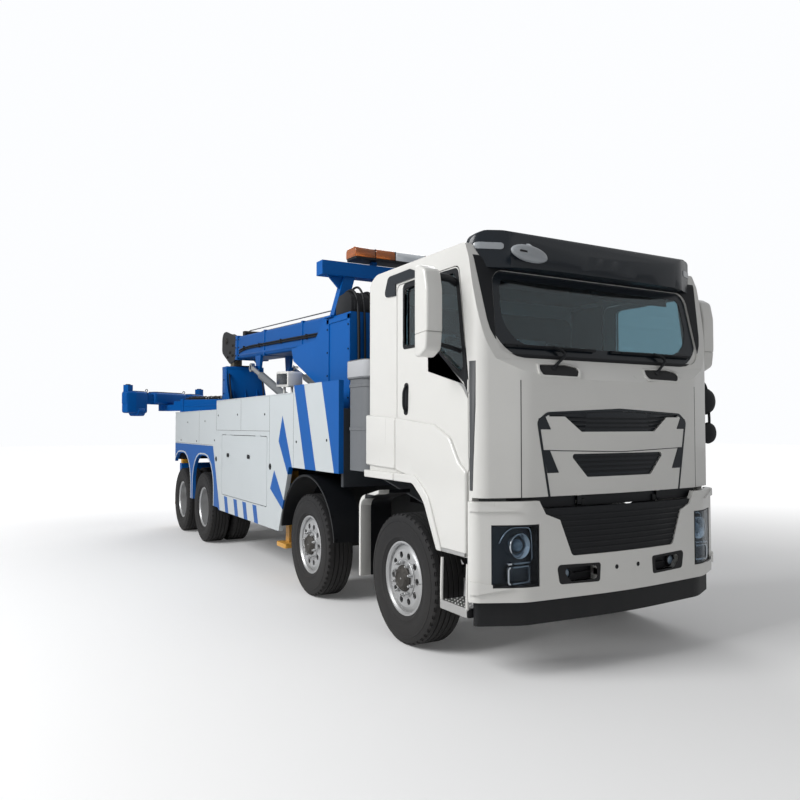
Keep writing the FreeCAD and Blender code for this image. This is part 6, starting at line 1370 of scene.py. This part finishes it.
# Seats: padded cushions simulated as cloth over their CAD place, on plain bases
SEAM_AT, SEAM_REACH, SEAM_DEPTH = (-0.11, 0.11), 0.018, 0.006
CLOTH_STEPS = 20
RECLINER = (-0.055, 0, 1.835)  # what a seat's back leans about


def crowned_pad(name, low, high, lean=0.0, cap=0.020):
    """A cushion: a slightly smaller block, remeshed, puffed by cloth pressure and capped in how far it moves."""
    inset = Vector((0.012, 0.012, 0.012))
    pad = soften(block(name, Vector(low) + inset, Vector(high) - inset), 0.03, 4)
    modify(pad, "REMESH", mode="VOXEL", voxel_size=0.0085)
    start = [vertex.co.copy() for vertex in pad.data.vertices]
    cloth = pad.modifiers.new("cloth", "CLOTH")
    cloth.settings.use_pressure = True
    cloth.settings.uniform_pressure_force = 4
    cloth.settings.effector_weights.gravity = 0
    for step in range(1, CLOTH_STEPS + 1):
        bpy.context.scene.frame_set(step)
    pick(pad)
    bpy.ops.object.modifier_apply(modifier=cloth.name)
    for vertex, first in zip(pad.data.vertices, start):
        shift = vertex.co - first
        if shift.length > cap:
            vertex.co = first + shift.normalized() * cap
    bpy.context.scene.frame_set(1)
    # the seams sink into the top of a cushion, and into the front of a back that leans
    way = 0 if lean else 2
    middle = [(a + b) / 2 for a, b in zip(low, high)]
    for vertex in pad.data.vertices:
        for seam in SEAM_AT:
            near = abs(vertex.co.y - middle[1] - seam)
            if near < SEAM_REACH and vertex.co[way] > middle[way]:
                vertex.co[way] -= SEAM_DEPTH * (1 + math.cos(math.pi * near / SEAM_REACH)) / 2
    modify(pad, "SUBSURF", levels=1, render_levels=1)
    if lean:
        pad.data.transform(turn_about(RECLINER, "Y", -lean))
    pick(pad)
    bpy.ops.object.shade_smooth()
    return pad


def make_seats():
    """Two sprung seats: box base, bolster cushion, leaning back and head pad."""
    pads = [(crowned_pad("seat_cushion", (-0.02, 0.305, 1.70), (0.50, 0.815, 1.83)), "seat_cushion", 0.8),
            (crowned_pad("seat_back", (-0.050, 0.315, 1.840), (0.080, 0.805, 2.44), lean=12), "seat_back", 0.7),
            (crowned_pad("seat_head", (-0.040, 0.43, 2.445), (0.060, 0.69, 2.555), lean=12, cap=0.008), "seat_head",
             0.8)]
    for pad, name, fill in pads:
        other = copied(pad, f"{name}_right", MIRROR)
        for piece, label in ((pad, f"{name}_left"), (other, f"{name}_right")):
            piece.name = label
            finish(piece, "cab", "fabric", "seats")
    parts = [plate("seat_box", "y", 0.34, 0.78, [(-0.10, 1.352), (0.44, 1.352), (0.47, 1.50, 0.04), (0.46, 1.695),
                                                 (-0.08, 1.695)])]
    parts += [plate("bellows", "z", z, z + 0.035, oblong(-0.115, 0.33, 0.475, 0.79, 0.02))
              for z in (1.42, 1.50, 1.58)]
    parts.append(plate("back_shell", "y", 0.33, 0.79, [(-0.10, 1.70, 0.01), (-0.055, 1.70), (-0.070, 1.85),
                                                       (-0.172, 2.40),
                                                       (-0.192, 2.40, 0.008)]))
    fit("seat_bases", [both(joined("bases", *parts))], (0.006,), "cab", "lining", "seats")


make_seats()


def make_dash_dress():
    """Instrument hood, centre stack and vents, and opaque pale panes in the cab's rear wall, whose colour paints the
    daylight seen through its windows.
    """
    parts = [plate("hood", "y", 0.33, 0.81, [(0.815, 2.185, 0.02), (0.98, 2.185), (0.98, 2.255, 0.03),
                                             (0.85, 2.25, 0.03)]),
             plate("stack", "y", -0.20, 0.22, [(0.755, 1.80, 0.03), (0.86, 1.80), (0.86, 2.20), (0.79, 2.20, 0.03)])]
    for y in (-0.95, -0.45, 0.95):
        parts.append(band("vent", "x", 0.778, 0.806, oblong(y - 0.07, 2.04, y + 0.07, 2.12, 0.02),
                          oblong(y - 0.06, 2.05, y + 0.06, 2.11, 0.012)))
        parts += [plate("vane", "x", 0.782, 0.80, oblong(y - 0.062, z, y + 0.062, z + 0.004))
                  for z in (2.062, 2.080, 2.098)]
    fit("dash_fittings", parts, (0.003, 1), "cab", "lining")
    # opaque pale panes where the rear windows are: their colour is painted daylight, not glass
    panes = [plate("pane", "x", -0.519, -0.512, oblong(y, 2.24, y + 0.50, 2.62, 0.05)) for y in (-0.80, 0.30)]
    fit("rear_panes_painted_daylight", panes, (0.001, 1), "cab", "lens_pale", slot="glass_tint")


make_dash_dress()


for spare in SKINS.values():
    bpy.data.objects.remove(spare)


# Floor, light and world
def make_stage():
    deselect()
    bpy.ops.mesh.primitive_plane_add(size=120, location=(0, 0, 0))
    floor = named("floor")
    pale = bpy.data.materials.new("floor_pale")
    pale.use_nodes = True
    # to the camera alone, the floor grows as pale as the backdrop with its distance from the truck
    tree = pale.node_tree
    place = feed(tree, add(tree, "ShaderNodeMapping"), {
        "Location": (2.0 - HOME.x, -HOME.y, 0), "Vector": tree.nodes.new("ShaderNodeTexCoord").outputs["Object"]})
    reach = feed(tree, add(tree, "ShaderNodeVectorMath", operation="LENGTH"), {0: place.outputs[0]})
    grow = feed(tree, add(tree, "ShaderNodeMapRange", interpolation_type="SMOOTHSTEP"), {
        "From Min": 3.0, "From Max": 16.0, "To Min": 0.05, "To Max": 0.74, "Value": reach.outputs["Value"]})
    seen = tree.nodes.new("ShaderNodeLightPath").outputs["Is Camera Ray"]
    feed(tree, tree.nodes["Principled BSDF"], {
        "Base Color": (0.84, 0.84, 0.84, 1), "Roughness": 0.9, "Specular IOR Level": 0.1,
        "Emission Color": (1, 1, 1, 1), "Emission Strength": math_node(tree, "MULTIPLY", grow.outputs[0], seen)})
    floor.data.materials.append(pale)
    world = bpy.data.worlds.new("studio")
    bpy.context.scene.world = world
    world.use_nodes = True
    tree = world.node_tree
    shade = tree.nodes["Background"]
    paths = tree.nodes.new("ShaderNodeLightPath")
    seen = math_node(tree, "MAXIMUM", paths.outputs["Is Camera Ray"], paths.outputs["Is Transmission Ray"])
    seen = math_node(tree, "MAXIMUM", seen, math_node(tree, "MULTIPLY", paths.outputs["Is Glossy Ray"], 0.35))
    strength = math_node(tree, "ADD", math_node(tree, "MULTIPLY", seen, 0.70), 0.30)
    feed(tree, shade, {"Strength": strength, "Color": (0.975, 0.985, 1.0, 1)})
    for name, spot, aim, size, power in (
        ("key", (-1.0, -12.0, 9.0), (-2.0, 0, 1.2), 7.0, 1700),
        ("fill", (11.0, 1.0, 5.0), (0, 0, 1.4), 8.0, 70),
        ("rim_light", (-12.0, 6.0, 9.0), (-3, 0, 1.5), 8.0, 600),
    ):
        light = bpy.data.objects.new(name, bpy.data.lights.new(name, "AREA"))
        light.data.energy = power
        light.data.size = size
        bpy.context.scene.collection.objects.link(light)
        light.location = Vector(spot) + HOME
        light.rotation_euler = (Vector(aim) - Vector(spot)).to_track_quat("-Z", "Y").to_euler()
    bpy.context.scene.view_settings.view_transform = "Standard"


make_stage()
